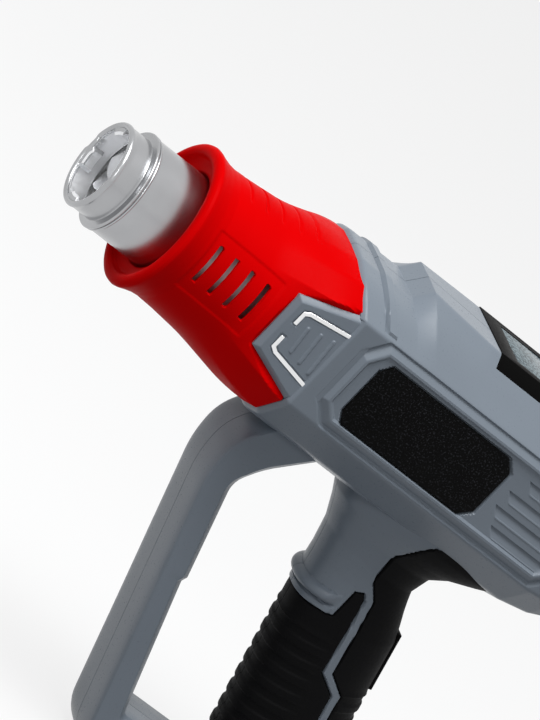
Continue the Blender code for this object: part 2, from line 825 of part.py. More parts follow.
def inlay_outline(upper, grow=0.0):
    """A bent strip's outline beside the pad's upper or lower edge."""
    sign = 1.0 if upper else -1.0
    middle = PAD_Z + 0.0004
    path = [
        (0.0803, middle + sign * 0.0028),
        (0.0803, middle + sign * 0.0078),
        (0.0822, middle + sign * 0.0090),
        (0.0985, middle + sign * 0.0118),
    ]
    half = INLAY_WIDTH / 2 + grow
    first = offset_corners(path, half, closed=False)
    second = offset_corners(path, -half, closed=False)
    ends = Vector((0.0, -sign * grow)), Vector((grow, 0.0))
    first[0], second[0] = first[0] + ends[0], second[0] + ends[0]
    first[-1], second[-1] = first[-1] + ends[1], second[-1] + ends[1]
    return first + second[::-1]


def casing_blank():
    """The whole casing before it is parted into halves."""
    casing = tool("casing blank", body_outer())
    fuse(casing, "handle form", handle_solid(bottom=-AXIS_HEIGHT - TRIM))
    fuse(casing, "guard form", guard_solid())
    combine(casing, hoop(), "UNION")
    for side in (-1, 1):
        fuse(casing, f"pad {side}", side_prism(pad_outline(), -0.0030, 0.0, side))
        ring = tool(f"frame {side}", side_prism(frame_outline(), -0.0010, FRAME_RISE, side))
        cut(ring, f"frame hole {side}", side_prism(frame_outline(FRAME_WIDTH), -0.0050, 0.0050, side))
        combine(casing, ring, "UNION")
    core = tool("casing hollow", body_inner())
    floor = -AXIS_HEIGHT + WALL + 0.0004
    fuse(core, "handle hollow", handle_solid(-RUBBER - WALL, top=-0.0200, bottom=floor, sides=16))
    fuse(core, "guard hollow", guard_channel())
    cut(core, "screw bosses", boss_shapes(BOSS_RADIUS))
    cut(core, "power board webs", board_webs())
    for number, x in enumerate((BODY_START + 0.0190, DUCT_END - 0.0050)):
        cut(core, f"bulkhead {number}", body_bulkhead(x, x + 0.0020))
    combine(casing, core, "DIFFERENCE")
    cut(casing, "level base", box((-FAR, -FAR, -0.05), (FAR, FAR, 0.0)))
    duct = disc_profile(BODY_START, DUCT_END + 0.01, DUCT_RADIUS + GAP)
    cut(casing, "duct seat", turned(duct, 32, hollow=False))
    return tool("hollow casing", settled(casing))


def louvre_start(z):
    """Front end of the louvre at height z. The middle ones reach further forward."""
    return LOUVRE_START + 0.0035 * abs(z - 0.0040) / 0.0105


def louvre_end(z):
    """Rear end of the louvre at height z, just inside the frame's slanting rear edge."""
    above = max(0.0, z + LOUVRE_HEIGHT - FRAME_NOSE_HIGH)
    below = max(0.0, FRAME_NOSE_LOW - z + LOUVRE_SLOT)
    return FRAME_END - FRAME_WIDTH - 0.0015 - above - below


def louvre_shape(z, side):
    """One air-intake louvre: a wedge whose lower edge stands proud of the panel."""
    bm = bmesh.new()
    start = louvre_start(z)
    rings = []
    marks = sorted({start, start + 0.003, min(TAPER_START, louvre_end(z)), louvre_end(z)})
    for x in marks:
        rise = LOUVRE_RISE * (0.6 if x == start else 1.0)
        face = side_face(x)
        profile = ((-0.0008, 0.0), (-0.0008, LOUVRE_HEIGHT), (0.0003, LOUVRE_HEIGHT), (rise, 0.0))
        rings.append([place(x, side * (face + out), z + up) for out, up in profile])
    return loft(bm, rings)


def build_casing():
    """Left and right casing halves."""
    casing = casing_blank()
    core = tool("handle core", handle_solid(-RUBBER, top=-0.0200, bottom=RUBBER_END - 0.010))
    body = tool("body kept whole", body_grown(SKIN))
    for name, outline in (("front", front_rubber_outline(GAP)), ("rear", rear_rubber_outline(GAP))):
        seat = tool(f"rubber seat {name}", flat_prism(outline, -0.05, 0.05))
        combine(seat, core, "DIFFERENCE")
        combine(seat, body, "DIFFERENCE")
        combine(casing, seat, "DIFFERENCE")
    for side in (-1, 1):
        label_seat = side_prism(label_outline(GAP), -LABEL_THICKNESS, 0.01, side)
        cut(casing, f"label seat {side}", label_seat)
        for upper in (True, False):
            seat = side_prism(inlay_outline(upper, GAP), -INLAY_THICKNESS, 0.01, side)
            cut(casing, f"inlay seat {side} {upper}", seat)
        for z in LOUVRE_Z:
            fuse(casing, f"louvre {side} {z}", louvre_shape(z, side))
            top = z - 0.0002
            low, high = sorted((side * 0.028, side * 0.045))
            front, back = louvre_start(z) + 0.003, louvre_end(z) - 0.001
            slot = box(place(front, low, top - LOUVRE_SLOT), place(back, high, top))
            cut(casing, f"louvre slot {side} {z}", slot)
    cut(casing, "bezel seat", bezel_seat())
    cut(casing, "switch seat", switch_frame_box(GAP, 0.010, -0.0019))
    cut(casing, "switch hole", switch_box(GAP, 0.010, -0.030))
    board_room = box(
        place(BEZEL_START + 0.0025, -0.0180, 0.0319), place(BOARD_END + 0.001, 0.0180, 0.0369)
    )
    cut(casing, "board room", board_room)
    gland_hole = rod(gland_point(-0.008), gland_point(0.008), GLAND_RADIUS + GAP, 24)
    cut(casing, "gland hole", gland_hole)
    casing = tool("casing with seats", settled(casing))
    for number, (x, z, half) in enumerate(screw_sites(), 1):
        head = half - SCREW_SINK
        end = place(x, head - SCREW_LENGTH - 0.001, z)
        cut(casing, f"screw hole {number}", rod(end, place(x, head, z), SCREW_RADIUS + GAP, 8))
        seat = place(x, head - SCREW_HEAD_LENGTH - GAP, z)
        sink = rod(seat, place(x, FAR / 4, z), SCREW_HEAD_RADIUS + GAP, 12)
        cut(casing, f"screw sink {number}", sink)
    whole = tool("drilled casing", settled(casing))
    for side, name in ((-1, "left"), (1, "right")):
        low, high = sorted((side * GAP / 2, side * FAR / 2))
        half = tool(f"casing {name} before its finish", box((-FAR, low, -0.02), (FAR, high, 0.30)))
        combine(half, whole, "INTERSECT")
        add_object(f"casing_{name}", settled(half), "casing")


# Shroud


def body_reach(angle, grow):
    """Distance from the axis to the body's front section in one direction, its corners left sharp."""
    ray = Vector((math.cos(angle), math.sin(angle)))
    corners = grown(body_corners(BODY_START), grow)
    reach = FAR
    for first, last in zip(corners, corners[1:] + corners[:1]):
        normal = Vector((last.y - first.y, first.x - last.x)).normalized()
        if normal.dot(ray) > 0:
            reach = min(reach, normal.dot(first) / normal.dot(ray))
    return reach


def shroud_ring(x, grow=0.0, sides=32):
    """The shroud's section at x: round at the waist, and like the body where it meets the casing."""
    t = min(1.0, max(0.0, (x - SHROUD_ROUND_END) / (SHROUD_END - SHROUD_ROUND_END)))
    mix = t * t * (3 - 2 * t)
    circle = np.interp(x, (SHROUD_WAIST_X, SHROUD_END), (SHROUD_WAIST_RADIUS, SHROUD_REAR_RADIUS))
    points = []
    for k in range(sides):
        angle = 2 * math.pi * k / sides
        outer = (1 - mix) * (circle + grow) + mix * body_reach(angle, grow - SHROUD_STEP)
        points.append(place(x, outer * math.cos(angle), outer * math.sin(angle)))
    return points


def beside_ray(x, angle, corners):
    """World points at x from (radius, side distance) pairs measured along one ray out of the axis."""
    c, s = math.cos(angle), math.sin(angle)
    return [place(x, radius * c - side * s, radius * s + side * c) for radius, side in corners]


def round_ring(x, radius, sides=32):
    """A round section at x."""
    angles = [2 * math.pi * k / sides for k in range(sides)]
    return [place(x, radius * math.cos(a), radius * math.sin(a)) for a in angles]


def build_shroud():
    """The red heat shroud: rolled lip, waist, vent slots, and a socket inside the casing."""
    lip = (SHROUD_LIP_RADIUS - SHROUD_MOUTH_RADIUS) / 2
    middle = SHROUD_MOUTH_RADIUS + lip
    outer = []
    for k in range(5):
        angle = math.radians(180 - 42 * k)
        x = SHROUD_START + lip + lip * math.cos(angle)
        outer.append(round_ring(x, middle + lip * math.sin(angle)))
    outer.append(round_ring(SHROUD_WAIST_X - 0.0065, SHROUD_WAIST_RADIUS + 0.0006))
    outer += [shroud_ring(x) for x in SHROUD_STATIONS]
    socket = -(WALL + 2 * GAP) + SHROUD_STEP
    thin = socket - SHROUD_WALL
    outer += [shroud_ring(SHROUD_END, socket), shroud_ring(BODY_START + SHROUD_SOCKET, socket)]
    inner = [shroud_ring(BODY_START + SHROUD_SOCKET, thin), shroud_ring(SHROUD_END - 0.004, thin)]
    inner += [shroud_ring(x, -SHROUD_WALL) for x in (0.0860, 0.0720, 0.0450)]
    inner.append(round_ring(SHROUD_START + 2 * lip, SHROUD_MOUTH_RADIUS))
    shroud = add_object("nozzle_shroud", loft(bmesh.new(), outer + inner, cyclic=True), "shroud")
    slots = bmesh.new()
    for x in SLOT_X:
        for low, high in ((-0.05, -0.02), (0.02, 0.05)):
            outline = stadium(x, SLOT_Z, SLOT_WIDTH, SLOT_LENGTH)
            loft(slots, [[place(px, y, pz) for px, pz in outline] for y in (low, high)])
    cut(shroud, "shroud slots", slots)
    for side in (-1, 1):
        notch = side_prism(pad_outline(GAP), -0.0030 - GAP, 0.02, side)
        cut(shroud, f"pad notch {side}", notch)


# Nozzle and heater


def build_nozzle():
    """The stepped steel tube, with a rolled lip, a bead and pressed lugs in its mouth."""
    rim = [
        (TIP_RIM + TIP_RIM * math.cos(a), TIP_RADIUS - TIP_RIM + TIP_RIM * 1.5 * math.sin(a))
        for a in [math.radians(240 - 60 * k) for k in range(4)]
    ]
    bead = TIP_LENGTH + 0.0006
    outer = rim + [
        (2 * TIP_RIM + 0.0006, TIP_RADIUS),
        (TIP_LENGTH, TIP_RADIUS),
        (bead, TUBE_RADIUS - 0.0008),
        (bead + 0.0008, TUBE_RADIUS + 0.0004),
        (bead + 0.0018, TUBE_RADIUS + 0.0004),
        (bead + 0.0026, TUBE_RADIUS),
        (TUBE_END, TUBE_RADIUS),
    ]
    inner = [
        (TUBE_END, TUBE_RADIUS - SHEET),
        (bead + 0.0010, TUBE_RADIUS - SHEET),
        (bead + 0.0006, TIP_RADIUS - SHEET),
        (2 * TIP_RIM, TIP_RADIUS - SHEET),
    ]
    tube = add_object("nozzle_tube", turned(outer + inner, 32), "steel")
    half = LUG_WIDTH / 2
    back = LUG_LENGTH - 0.001
    steps = ((0.0004, 0.0), (0.0012, LUG_DEPTH), (back, LUG_DEPTH), (LUG_LENGTH, 0.0))
    high = TIP_RADIUS - SHEET + 0.0001
    for k in range(LUG_COUNT):
        angle = math.radians(45 + 90 * k)
        rings = []
        for x, depth in steps:
            low = high - 0.0002 - depth
            corners = ((low, -half * 0.75), (high, -half), (high, half), (low, half * 0.75))
            rings.append(beside_ray(x, angle, corners))
        fuse(tube, f"mouth lug {k}", loft(bmesh.new(), rings))


def star(hub, fin_radius, count, thickness):
    """A round hub with fins as (y, z) points, seen along the axis."""
    half = thickness / 2
    foot = math.asin(half / hub)
    pitch = 2 * math.pi / count
    points = []
    for k in range(count):
        angle = k * pitch
        c, s = math.cos(angle), math.sin(angle)
        for side in (-1, 1):
            points.append((fin_radius * c - side * half * s, fin_radius * s + side * half * c))
        for turn in (foot, pitch / 2, pitch - foot):
            points.append((hub * math.cos(angle + turn), hub * math.sin(angle + turn)))
    return points


def build_diffuser():
    """A ring of steel vanes inside the mouth that spreads the hot air."""
    outer = TIP_RADIUS - SHEET - GAP
    end = DIFFUSER_X + DIFFUSER_LENGTH
    ring = turned(ring_profile(DIFFUSER_X, end, outer - SHEET, outer), 32)
    diffuser = add_object("nozzle_diffuser", ring, "steel")
    vanes = star(DIFFUSER_HUB, outer - SHEET / 2, DIFFUSER_VANES, SHEET)
    rings = [[place(x, y, z) for y, z in vanes] for x in (DIFFUSER_X + 0.0003, end - 0.0003)]
    fuse(diffuser, "diffuser vanes", loft(bmesh.new(), rings))


def mica_inner():
    """The mica sleeve's inner radius."""
    return TUBE_RADIUS - SHEET - GAP - MICA_WALL


def build_heater():
    """Mica sleeve, finned ceramic core, the wound wire, and the sensor between two fins."""
    outer = TUBE_RADIUS - SHEET - GAP
    sleeve = ring_profile(MICA_START, HEATER_END, mica_inner(), outer)
    add_object("mica_sleeve", turned(sleeve, 32), "mica")
    wire_path = mica_inner() - GAP - WIRE_RADIUS
    fin_end = mica_inner() - GAP
    fin_low = wire_path - WIRE_RADIUS - GAP
    start, end = MICA_START, HEATER_END
    stations = [
        (start, fin_end),
        (start + CORE_END_LENGTH, fin_end),
        (start + CORE_END_LENGTH + 0.0002, fin_low),
        (end - CORE_END_LENGTH - 0.0002, fin_low),
        (end - CORE_END_LENGTH, fin_end),
        (end, fin_end),
    ]
    rings = []
    for x, fin in stations:
        section = star(CORE_HUB_RADIUS, fin, CORE_FINS, CORE_FIN_THICKNESS)
        rings.append([place(x, y, z) for y, z in section])
    add_object("ceramic_core", loft(bmesh.new(), rings), "ceramic")
    build_coil(wire_path)
    lift = CORE_HUB_RADIUS + GAP + SENSOR_RADIUS
    angle = 1.5 * 2 * math.pi / CORE_FINS
    y, z = lift * math.cos(angle), lift * math.sin(angle)
    first = MICA_START + 0.002
    sensor = rod(place(first, y, z), place(first + SENSOR_LENGTH, y, z), SENSOR_RADIUS, 12)
    add_object("temperature_sensor", sensor, "brass")


def build_coil(radius):
    """The heating wire, one helix round the core's fins."""
    start = MICA_START + CORE_END_LENGTH + 0.003
    end = HEATER_END - CORE_END_LENGTH - 0.003
    count = COIL_TURNS * COIL_POINTS
    angles = np.arange(count + 1) * 2 * math.pi / COIL_POINTS
    along = start + (end - start) * np.arange(count + 1) / count
    path = np.column_stack((along, radius * np.cos(angles), radius * np.sin(angles)))
    curve = bpy.data.curves.new("heating_coil", "CURVE")
    curve.dimensions = "3D"
    curve.bevel_depth = WIRE_RADIUS
    curve.bevel_resolution = 1
    curve.use_fill_caps = True
    curve.materials.append(paint("copper"))
    spline = curve.splines.new("POLY")
    spline.points.add(count)
    for point, spot in zip(spline.points, path):
        point.co = (*place(*spot), 1.0)
    obj = bpy.data.objects.new("heating_coil", curve)
    bpy.context.scene.collection.objects.link(obj)
    print(f"heating coil: least gap between its turns {own_gap(path) * 1000:.2f} mm")


def own_gap(path):
    """Least clear distance between the wire's turns, measured between points at least half a turn apart."""
    least = FAR
    for i in range(len(path) - COIL_POINTS // 2):
        others = path[i + COIL_POINTS // 2 :]
        least = min(least, float(np.linalg.norm(others - path[i], axis=1).min()))
    return least - 2 * WIRE_RADIUS


def build_seat_ring():
    """The ring that holds the tube's rear end inside the shroud's socket."""
    ring = turned(ring_profile(TUBE_END - 0.0030, TUBE_END, TUBE_RADIUS + GAP, DUCT_RADIUS), 32)
    add_object("tube_seat_ring", ring, "white")


# Air duct, motor and fan


def duct_inner():
    """The air duct's inner radius."""
    return DUCT_RADIUS - DUCT_WALL


def motor_end():
    """Distance of the motor's rear end."""
    return MOTOR_START + MOTOR_LENGTH


def build_duct():
    """The tube that leads air from the fan to the heater and carries the motor on ribs."""
    front = TUBE_END + GAP
    profile = [
        (front, TUBE_RADIUS - SHEET - 0.0010),
        (front, DUCT_RADIUS),
        (DUCT_END, DUCT_RADIUS),
        (DUCT_END, duct_inner()),
        (front + 0.010, duct_inner()),
        (front + 0.0022, TUBE_RADIUS - SHEET - 0.0010),
    ]
    duct = add_object("air_duct", turned(profile, 32), "white")
    low, high = MOTOR_RADIUS + GAP, duct_inner() + DUCT_WALL / 2
    corners = ((low, -0.001), (high, -0.001), (high, 0.001), (low, 0.001))
    for k in range(HOLDER_RIBS):
        angle = math.radians(45 + 90 * k)
        ends = (MOTOR_START + 0.003, DUCT_END - 0.001)
        rings = [beside_ray(x, angle, corners) for x in ends]
        fuse(duct, f"holder rib {k}", loft(bmesh.new(), rings))


def build_motor():
    """Can, magnets, armature on its shaft, bushes, brushes and end cap."""
    inner = MOTOR_RADIUS - MOTOR_WALL
    front, back = MOTOR_START, motor_end()
    plate = front + MOTOR_WALL + 0.001
    cap_front = back - 0.003 + GAP
    bush = BUSH_RADIUS + GAP
    can = [
        (front, bush),
        (front, MOTOR_RADIUS),
        (back - 0.003, MOTOR_RADIUS),
        (back - 0.003, inner),
        (plate, inner),
        (plate, bush),
    ]
    add_object("motor_can", turned(can, 24), "steel")
    cap = [
        (cap_front, bush),
        (cap_front, inner - 0.0030),
        (cap_front - 0.005, inner - 0.0030),
        (cap_front - 0.005, inner - GAP),
        (cap_front, inner - GAP),
        (cap_front, MOTOR_RADIUS),
        (back, MOTOR_RADIUS),
        (back, bush),
    ]
    end_cap = add_object("motor_end_cap", turned(cap, 24), "black")
    for sign, name in ((1, "upper"), (-1, "lower")):
        build_brush(end_cap, name, sign, cap_front - 0.0040, inner)
        build_magnet(name, sign, front + 0.006, cap_front - 0.0065, inner - GAP)
    for name, start, end in (("front", front, plate), ("rear", cap_front, back)):
        ring = turned(ring_profile(start, end, SHAFT_RADIUS + GAP, BUSH_RADIUS), 16)
        add_object(f"shaft_bush_{name}", ring, "brass")
    iron_start, iron_end = front + 0.008, cap_front - 0.0090
    armature = [
        (FAN_START - 0.001, 0.0),
        (FAN_START - 0.001, SHAFT_RADIUS),
        (iron_start, SHAFT_RADIUS),
        (iron_start, ARMATURE_RADIUS),
        (iron_end, ARMATURE_RADIUS),
        (iron_end, COMMUTATOR_RADIUS),
        (cap_front - 0.0004, COMMUTATOR_RADIUS),
        (cap_front - 0.0004, SHAFT_RADIUS),
        (back + 0.0008, SHAFT_RADIUS),
        (back + 0.0008, 0.0),
    ]
    rotor = turned(armature, 16, hollow=False)
    add_object("motor_armature", rotor, "copper", origin=place(FAN_START, 0.0, 0.0))


def build_brush(end_cap, name, sign, x, inner):
    """One carbon brush in its slot through the end cap's collar; sign is 1 above the shaft and -1 below."""
    low, high = sorted((sign * (COMMUTATOR_RADIUS + GAP), sign * (inner - 0.0008)))
    half = BRUSH_HALF_WIDTH
    brush = box(place(x, -half, low), place(x + BRUSH_LENGTH, half, high))
    add_object(f"brush_{name}", brush, "ferrite")
    room = Vector((GAP, GAP, GAP))
    slot = box(place(x, -half, low) - room, place(x + BRUSH_LENGTH, half, high) + room)
    cut(end_cap, f"brush slot {name}", slot)


def build_magnet(name, sign, start, end, outer):
    """One curved magnet against the can; sign is 1 above the shaft and -1 below."""
    ring = turned(ring_profile(start, end, outer - MAGNET_THICKNESS, outer), 24)
    magnet = add_object(f"motor_magnet_{name}", ring, "ferrite")
    low, high = sorted((sign * 0.004, sign * 0.03))
    half = tool(f"magnet half {name}", box(place(0.1, -0.03, low), place(LENGTH, 0.03, high)))
    combine(magnet, half, "INTERSECT")


def build_fan():
    """The impeller: a hub with twisted blades, on the motor's shaft."""
    tip = duct_inner() - FAN_CLEARANCE
    half = FAN_WIDTH / 2 - 0.0005
    middle = FAN_START + FAN_WIDTH / 2
    hub = turned(ring_profile(FAN_START, FAN_START + FAN_WIDTH, SHAFT_RADIUS + GAP, FAN_HUB), 18)
    fan = add_object("fan_impeller", hub, "white", origin=place(FAN_START, 0.0, 0.0))
    for k in range(FAN_BLADES):
        first = 2 * math.pi * k / FAN_BLADES
        rings = []
        for radius, lean in ((FAN_HUB - 0.001, 0.0034), ((FAN_HUB + tip) / 2, 0.0050), (tip, 0.0062)):
            thin = 0.0006
            corners = ((-half, -lean - thin), (-half, -lean + thin), (half, lean + thin), (half, lean - thin))
            rings.append([blade_point(middle + along, radius, first, side) for along, side in corners])
        fuse(fan, f"blade {k}", loft(bmesh.new(), rings))


def blade_point(x, radius, first, side):
    """A blade's corner: a side distance of its own round the circle from the blade's first angle."""
    angle = first + side / radius * 0.8
    return place(x, radius * math.cos(angle), radius * math.sin(angle))


# Display, buttons and boards


def bezel_top():
    """Height of the bezel's flat top."""
    return REAR_TOP + BEZEL_RISE


def bezel_prism():
    """The bezel's outer form: a flat top with sloping edges, along the body's top rear."""
    half, foot = BEZEL_HALF_WIDTH, BEZEL_HALF_WIDTH + BEZEL_SKIRT
    low = REAR_TOP - BEZEL_SKIRT
    outline = [(-foot, low), (-half, bezel_top()), (half, bezel_top()), (foot, low)]
    return loft(bmesh.new(), [[place(x, y, z) for y, z in outline] for x in (BEZEL_START, BEZEL_END)])


def bezel_seat():
    """The room that the casing leaves for the bezel, open upwards."""
    half, foot = BEZEL_HALF_WIDTH + GAP - 0.003, BEZEL_HALF_WIDTH + BEZEL_SKIRT + GAP
    low, high = REAR_TOP - BEZEL_SKIRT - GAP, bezel_top() + 0.003
    outline = [(-foot, low), (-half, high), (half, high), (foot, low)]
    ends = (BEZEL_START - GAP, BEZEL_END + GAP)
    return loft(bmesh.new(), [[place(x, y, z) for y, z in outline] for x in ends])


def bezel_hollow():
    """The room under the bezel's thin top."""
    half, foot = BEZEL_HALF_WIDTH - 0.0006, BEZEL_HALF_WIDTH + BEZEL_SKIRT - 0.0003
    low, high = REAR_TOP - BEZEL_SKIRT - 0.001, bezel_top() - BEZEL_WALL
    outline = [(-foot, low), (-half, high), (half, high), (foot, low)]
    ends = (BEZEL_START + BEZEL_WALL, BEZEL_END - BEZEL_WALL)
    return loft(bmesh.new(), [[place(x, y, z) for y, z in outline] for x in ends])


def build_controls():
    """Bezel, window, display, board and the two push buttons."""
    bezel = add_object("control_bezel", bezel_prism(), "black")
    cut(bezel, "bezel hollow", bezel_hollow())
    top, under = bezel_top(), bezel_top() - BEZEL_WALL
    start, end, wide = WINDOW_START, WINDOW_START + WINDOW_LENGTH, WINDOW_HALF_WIDTH
    opening = box(place(start, -wide, under - 0.01), place(end, wide, top + 0.01))
    cut(bezel, "window opening", opening)
    face = top - 0.0002
    level = face - WINDOW_THICKNESS
    window = box(place(start + GAP, GAP - wide, level), place(end - GAP, wide - GAP, face))
    add_object("display_window", window, "glass")
    face = level - GAP
    level = face - DISPLAY_THICKNESS
    display = box(place(start + 0.001, 0.001 - wide, level), place(end - 0.001, wide - 0.001, face))
    add_object("display_module", display, "white")
    face = level - GAP
    level = face - BOARD_THICKNESS
    first = BEZEL_START + BEZEL_WALL + 0.001
    plate = box(place(first, -0.0160, level), place(BOARD_END, 0.0160, face))
    board = add_object("control_board", plate, "board")
    for sign, name in ((-1, "down"), (1, "up")):
        build_button(bezel, board, name, sign * BUTTON_Y, face)


def build_button(bezel, board, name, y, board_top):
    """One push button in its hole, over its key switch on the board."""
    top, under = bezel_top(), bezel_top() - BEZEL_WALL
    flange = under - GAP
    key = board_top + 0.0005
    profile = [
        (top + BUTTON_RISE, 0.0),
        (top + BUTTON_RISE, BUTTON_RADIUS - 0.0006),
        (top + BUTTON_RISE - 0.0006, BUTTON_RADIUS),
        (flange, BUTTON_RADIUS),
        (flange, BUTTON_RADIUS + 0.0008),
        (flange - 0.0010, BUTTON_RADIUS + 0.0008),
        (flange - 0.0010, 0.0016),
        (key + BUTTON_TRAVEL + GAP, 0.0016),
        (key + BUTTON_TRAVEL + GAP, 0.0),
    ]
    bm = bmesh.new()
    verts = [bm.verts.new(place(BUTTON_X + radius, y, z)) for z, radius in profile]
    edges = [bm.edges.new(pair) for pair in zip(verts, verts[1:])]
    spun(bm, verts + edges, place(BUTTON_X, y, 0.0), (0.0, 0.0, 1.0), 18)
    add_object(f"button_{name}", bm, "rubber", origin=place(BUTTON_X, y, top))
    ends = place(BUTTON_X, y, under - 0.01), place(BUTTON_X, y, top + 0.01)
    cut(bezel, f"button hole {name}", rod(*ends, BUTTON_RADIUS + GAP, 18))
    low = place(BUTTON_X - 0.003, y - 0.003, board_top - 0.0005)
    fuse(board, f"key switch {name}", box(low, place(BUTTON_X + 0.003, y + 0.003, key)))


# Side pieces


def build_side_pieces():
    """Bare side plates and bright inlays, on both sides."""
    for side, half in ((-1, "left"), (1, "right")):
        plate = side_prism(label_outline(), GAP - LABEL_THICKNESS, GAP, side)
        add_object(f"label_plate_{half}", plate, "black")
        for upper, name in ((True, "upper"), (False, "lower")):
            strip = side_prism(inlay_outline(upper), GAP - INLAY_THICKNESS, GAP, side)
            add_object(f"inlay_{name}_{half}", strip, "chrome")


def build_rear_cap():
    """The flat rear cap with its intake grille and a lip inside the casing."""
    start = BODY_END + GAP
    lip = -WALL - GAP
    rings = [body_ring(BODY_END - 0.005, lip, steps=1), body_ring(start, lip, steps=1)]
    rings += [body_ring(start, steps=1), body_ring(LENGTH - 0.003, steps=1)]
    rings.append(body_ring(LENGTH, -0.0015, steps=1))
    cap = add_object("rear_cap", loft(bmesh.new(), rings), "casing")
    thin = -2 * WALL - GAP
    room = [body_ring(BODY_END - 0.010, thin, steps=1), body_ring(LENGTH - WALL, thin, steps=1)]
    cut(cap, "rear cap hollow", loft(bmesh.new(), room))
    for k in range(5):
        z = 0.0050 + 0.0070 * (k - 2)
        slot = box(place(LENGTH - 0.01, -0.0180, z - 0.0012), place(LENGTH + 0.01, 0.0180, z + 0.0012))
        cut(cap, f"rear slot {k}", slot)


# Power switch


def switch_matrix():
    """The frame on the grip's rear face: local X points out of the handle, local Z up along it."""
    centre, depth, _ = handle_sizes(SWITCH_Z)
    reach = depth / (1.0 + LEAN * LEAN)
    point = place(centre + reach, 0.0, SWITCH_Z + LEAN * reach)
    return Matrix.Translation(point) @ Matrix.Rotation(-math.atan(LEAN), 4, "Y")


def in_switch(bm):
    """Moves a shape from the switch's own frame to the handle."""
    bmesh.ops.transform(bm, matrix=switch_matrix(), verts=bm.verts)
    return bm


def switch_frame_box(grow, out, depth):
    """The space of the switch's flange."""
    half_w, half_l = SWITCH_WIDTH / 2 + grow, SWITCH_LENGTH / 2 + grow
    return in_switch(box((depth, -half_w, -half_l), (out, half_w, half_l)))


def switch_box(grow, out, depth):
    """The space of the switch's body behind its flange."""
    half_w, half_l = 0.0060 + grow, 0.0108 + grow
    return in_switch(box((depth, -half_w, -half_l), (out, half_w, half_l)))


def build_switch():
    """Switch body with a cavity, and the rocker on its pins."""
    body = add_object("switch_body", switch_frame_box(0.0, 0.0, -SWITCH_FLANGE), "black")
    fuse(body, "switch block", switch_box(0.0, -0.0004, -0.0180))
    cavity_w, cavity_l = ROCKER_HALF_WIDTH + GAP, ROCKER_HALF_LENGTH + 0.0017
    cavity = box((-0.0090, -cavity_w, -cavity_l), (0.01, cavity_w, cavity_l))
    cut(body, "switch cavity", in_switch(cavity))
    pin_y = ROCKER_HALF_WIDTH + 0.0010
    holes = rod((-ROCKER_PIVOT, -pin_y - GAP, 0), (-ROCKER_PIVOT, pin_y + GAP, 0), 0.0010 + GAP, 16)
    cut(body, "rocker pin holes", in_switch(holes))
    reach = ROCKER_HALF_LENGTH
    outline = [
        (0.0012, -reach),
        (-0.0002, 0.0),
        (0.0012, reach),
        (-0.0034, reach),
        (-0.0062, 0.0030),
        (-0.0062, -0.0030),
        (-0.0034, -reach),
    ]
    half = ROCKER_HALF_WIDTH
    shape = in_switch(loft(bmesh.new(), [[(n, y, u) for n, u in outline] for y in (-half, half)]))
    pivot = switch_matrix() @ Vector((-ROCKER_PIVOT, 0.0, 0.0))
    rocker = add_object("switch_rocker", shape, "shroud", origin=pivot)
    pins = rod((-ROCKER_PIVOT, -pin_y, 0), (-ROCKER_PIVOT, pin_y, 0), 0.0010, 16)
    fuse(rocker, "rocker pins", in_switch(pins))


# Power board and cord inlet


def gland_point(distance):
    """A point on the cord inlet's line at the foot's back; distance is measured out of the handle."""
    centre, depth, _ = handle_sizes(GLAND_Z)
    return place(centre + depth + distance, 0.0, GLAND_Z)


def gland_ring(distance, radius, sides=24):
    """A ring round the cord inlet's line."""
    angles = [2 * math.pi * k / sides for k in range(sides)]
    turn = [Vector((0.0, math.cos(angle), math.sin(angle))) for angle in angles]
    return [gland_point(distance) + radius * step for step in turn]


def build_inlet():
    """The bush at the back of the foot where a cord would come in."""
    profile = (
        (-0.0050, GLAND_RADIUS),
        (0.0008, GLAND_RADIUS),
        (0.0016, GLAND_RADIUS - 0.0008),
        (0.0016, GLAND_BORE),
        (-0.0050, GLAND_BORE),
    )
    rings = [gland_ring(distance, radius) for distance, radius in profile]
    add_object("cord_inlet", loft(bmesh.new(), rings, cyclic=True), "rubber")


def build_power_board():
    """The power board in the grip, with its capacitor."""
    low, high = POWER_BOARD_HALF_WIDTH, POWER_BOARD_HALF_LENGTH
    back = BOARD_THICKNESS - POWER_BOARD_DEPTH
    board = in_switch(box((-POWER_BOARD_DEPTH, -low, -high), (back, low, high)))
    add_object("power_board", board, "board")
    block = in_switch(box((back + GAP, -0.0070, -0.0080), (back + GAP + 0.0070, 0.0070, 0.0080)))
    add_object("suppressor_capacitor", block, "white")


def board_webs():
    """Two webs across the grip's hollow that the power board rests on."""
    bm = bmesh.new()
    for u in (-0.0090, 0.0090):
        add_box(bm, (-0.06, -0.03, u - 0.0008), (-POWER_BOARD_DEPTH - GAP, 0.03, u + 0.0008))
    return in_switch(bm)


def main():
    """Builds every piece."""
    clear_scene()
    build_nozzle()
    build_diffuser()
    build_heater()
    build_seat_ring()
    build_shroud()
    build_duct()
    build_motor()
    build_fan()
    build_controls()
    build_side_pieces()
    build_rear_cap()
    build_switch()
    build_power_board()
    build_inlet()
    build_casing()
    build_grips()
    build_screws()


main()
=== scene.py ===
"""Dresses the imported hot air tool: finer surfaces for the casing, shroud, nozzle and grips, a procedural
finish for every piece, plain studio light and the camera.

Shapes are worked out in millimetres, with x running back from the nozzle's mouth, y to the right side and
z up from the nozzle's axis, and carried to the frame's metres at the end.
"""

import json
import logging
import math
from dataclasses import dataclass
from enum import Enum
from typing import Sequence

import bmesh
import bpy
import numpy as np
from mathutils import Matrix, Vector


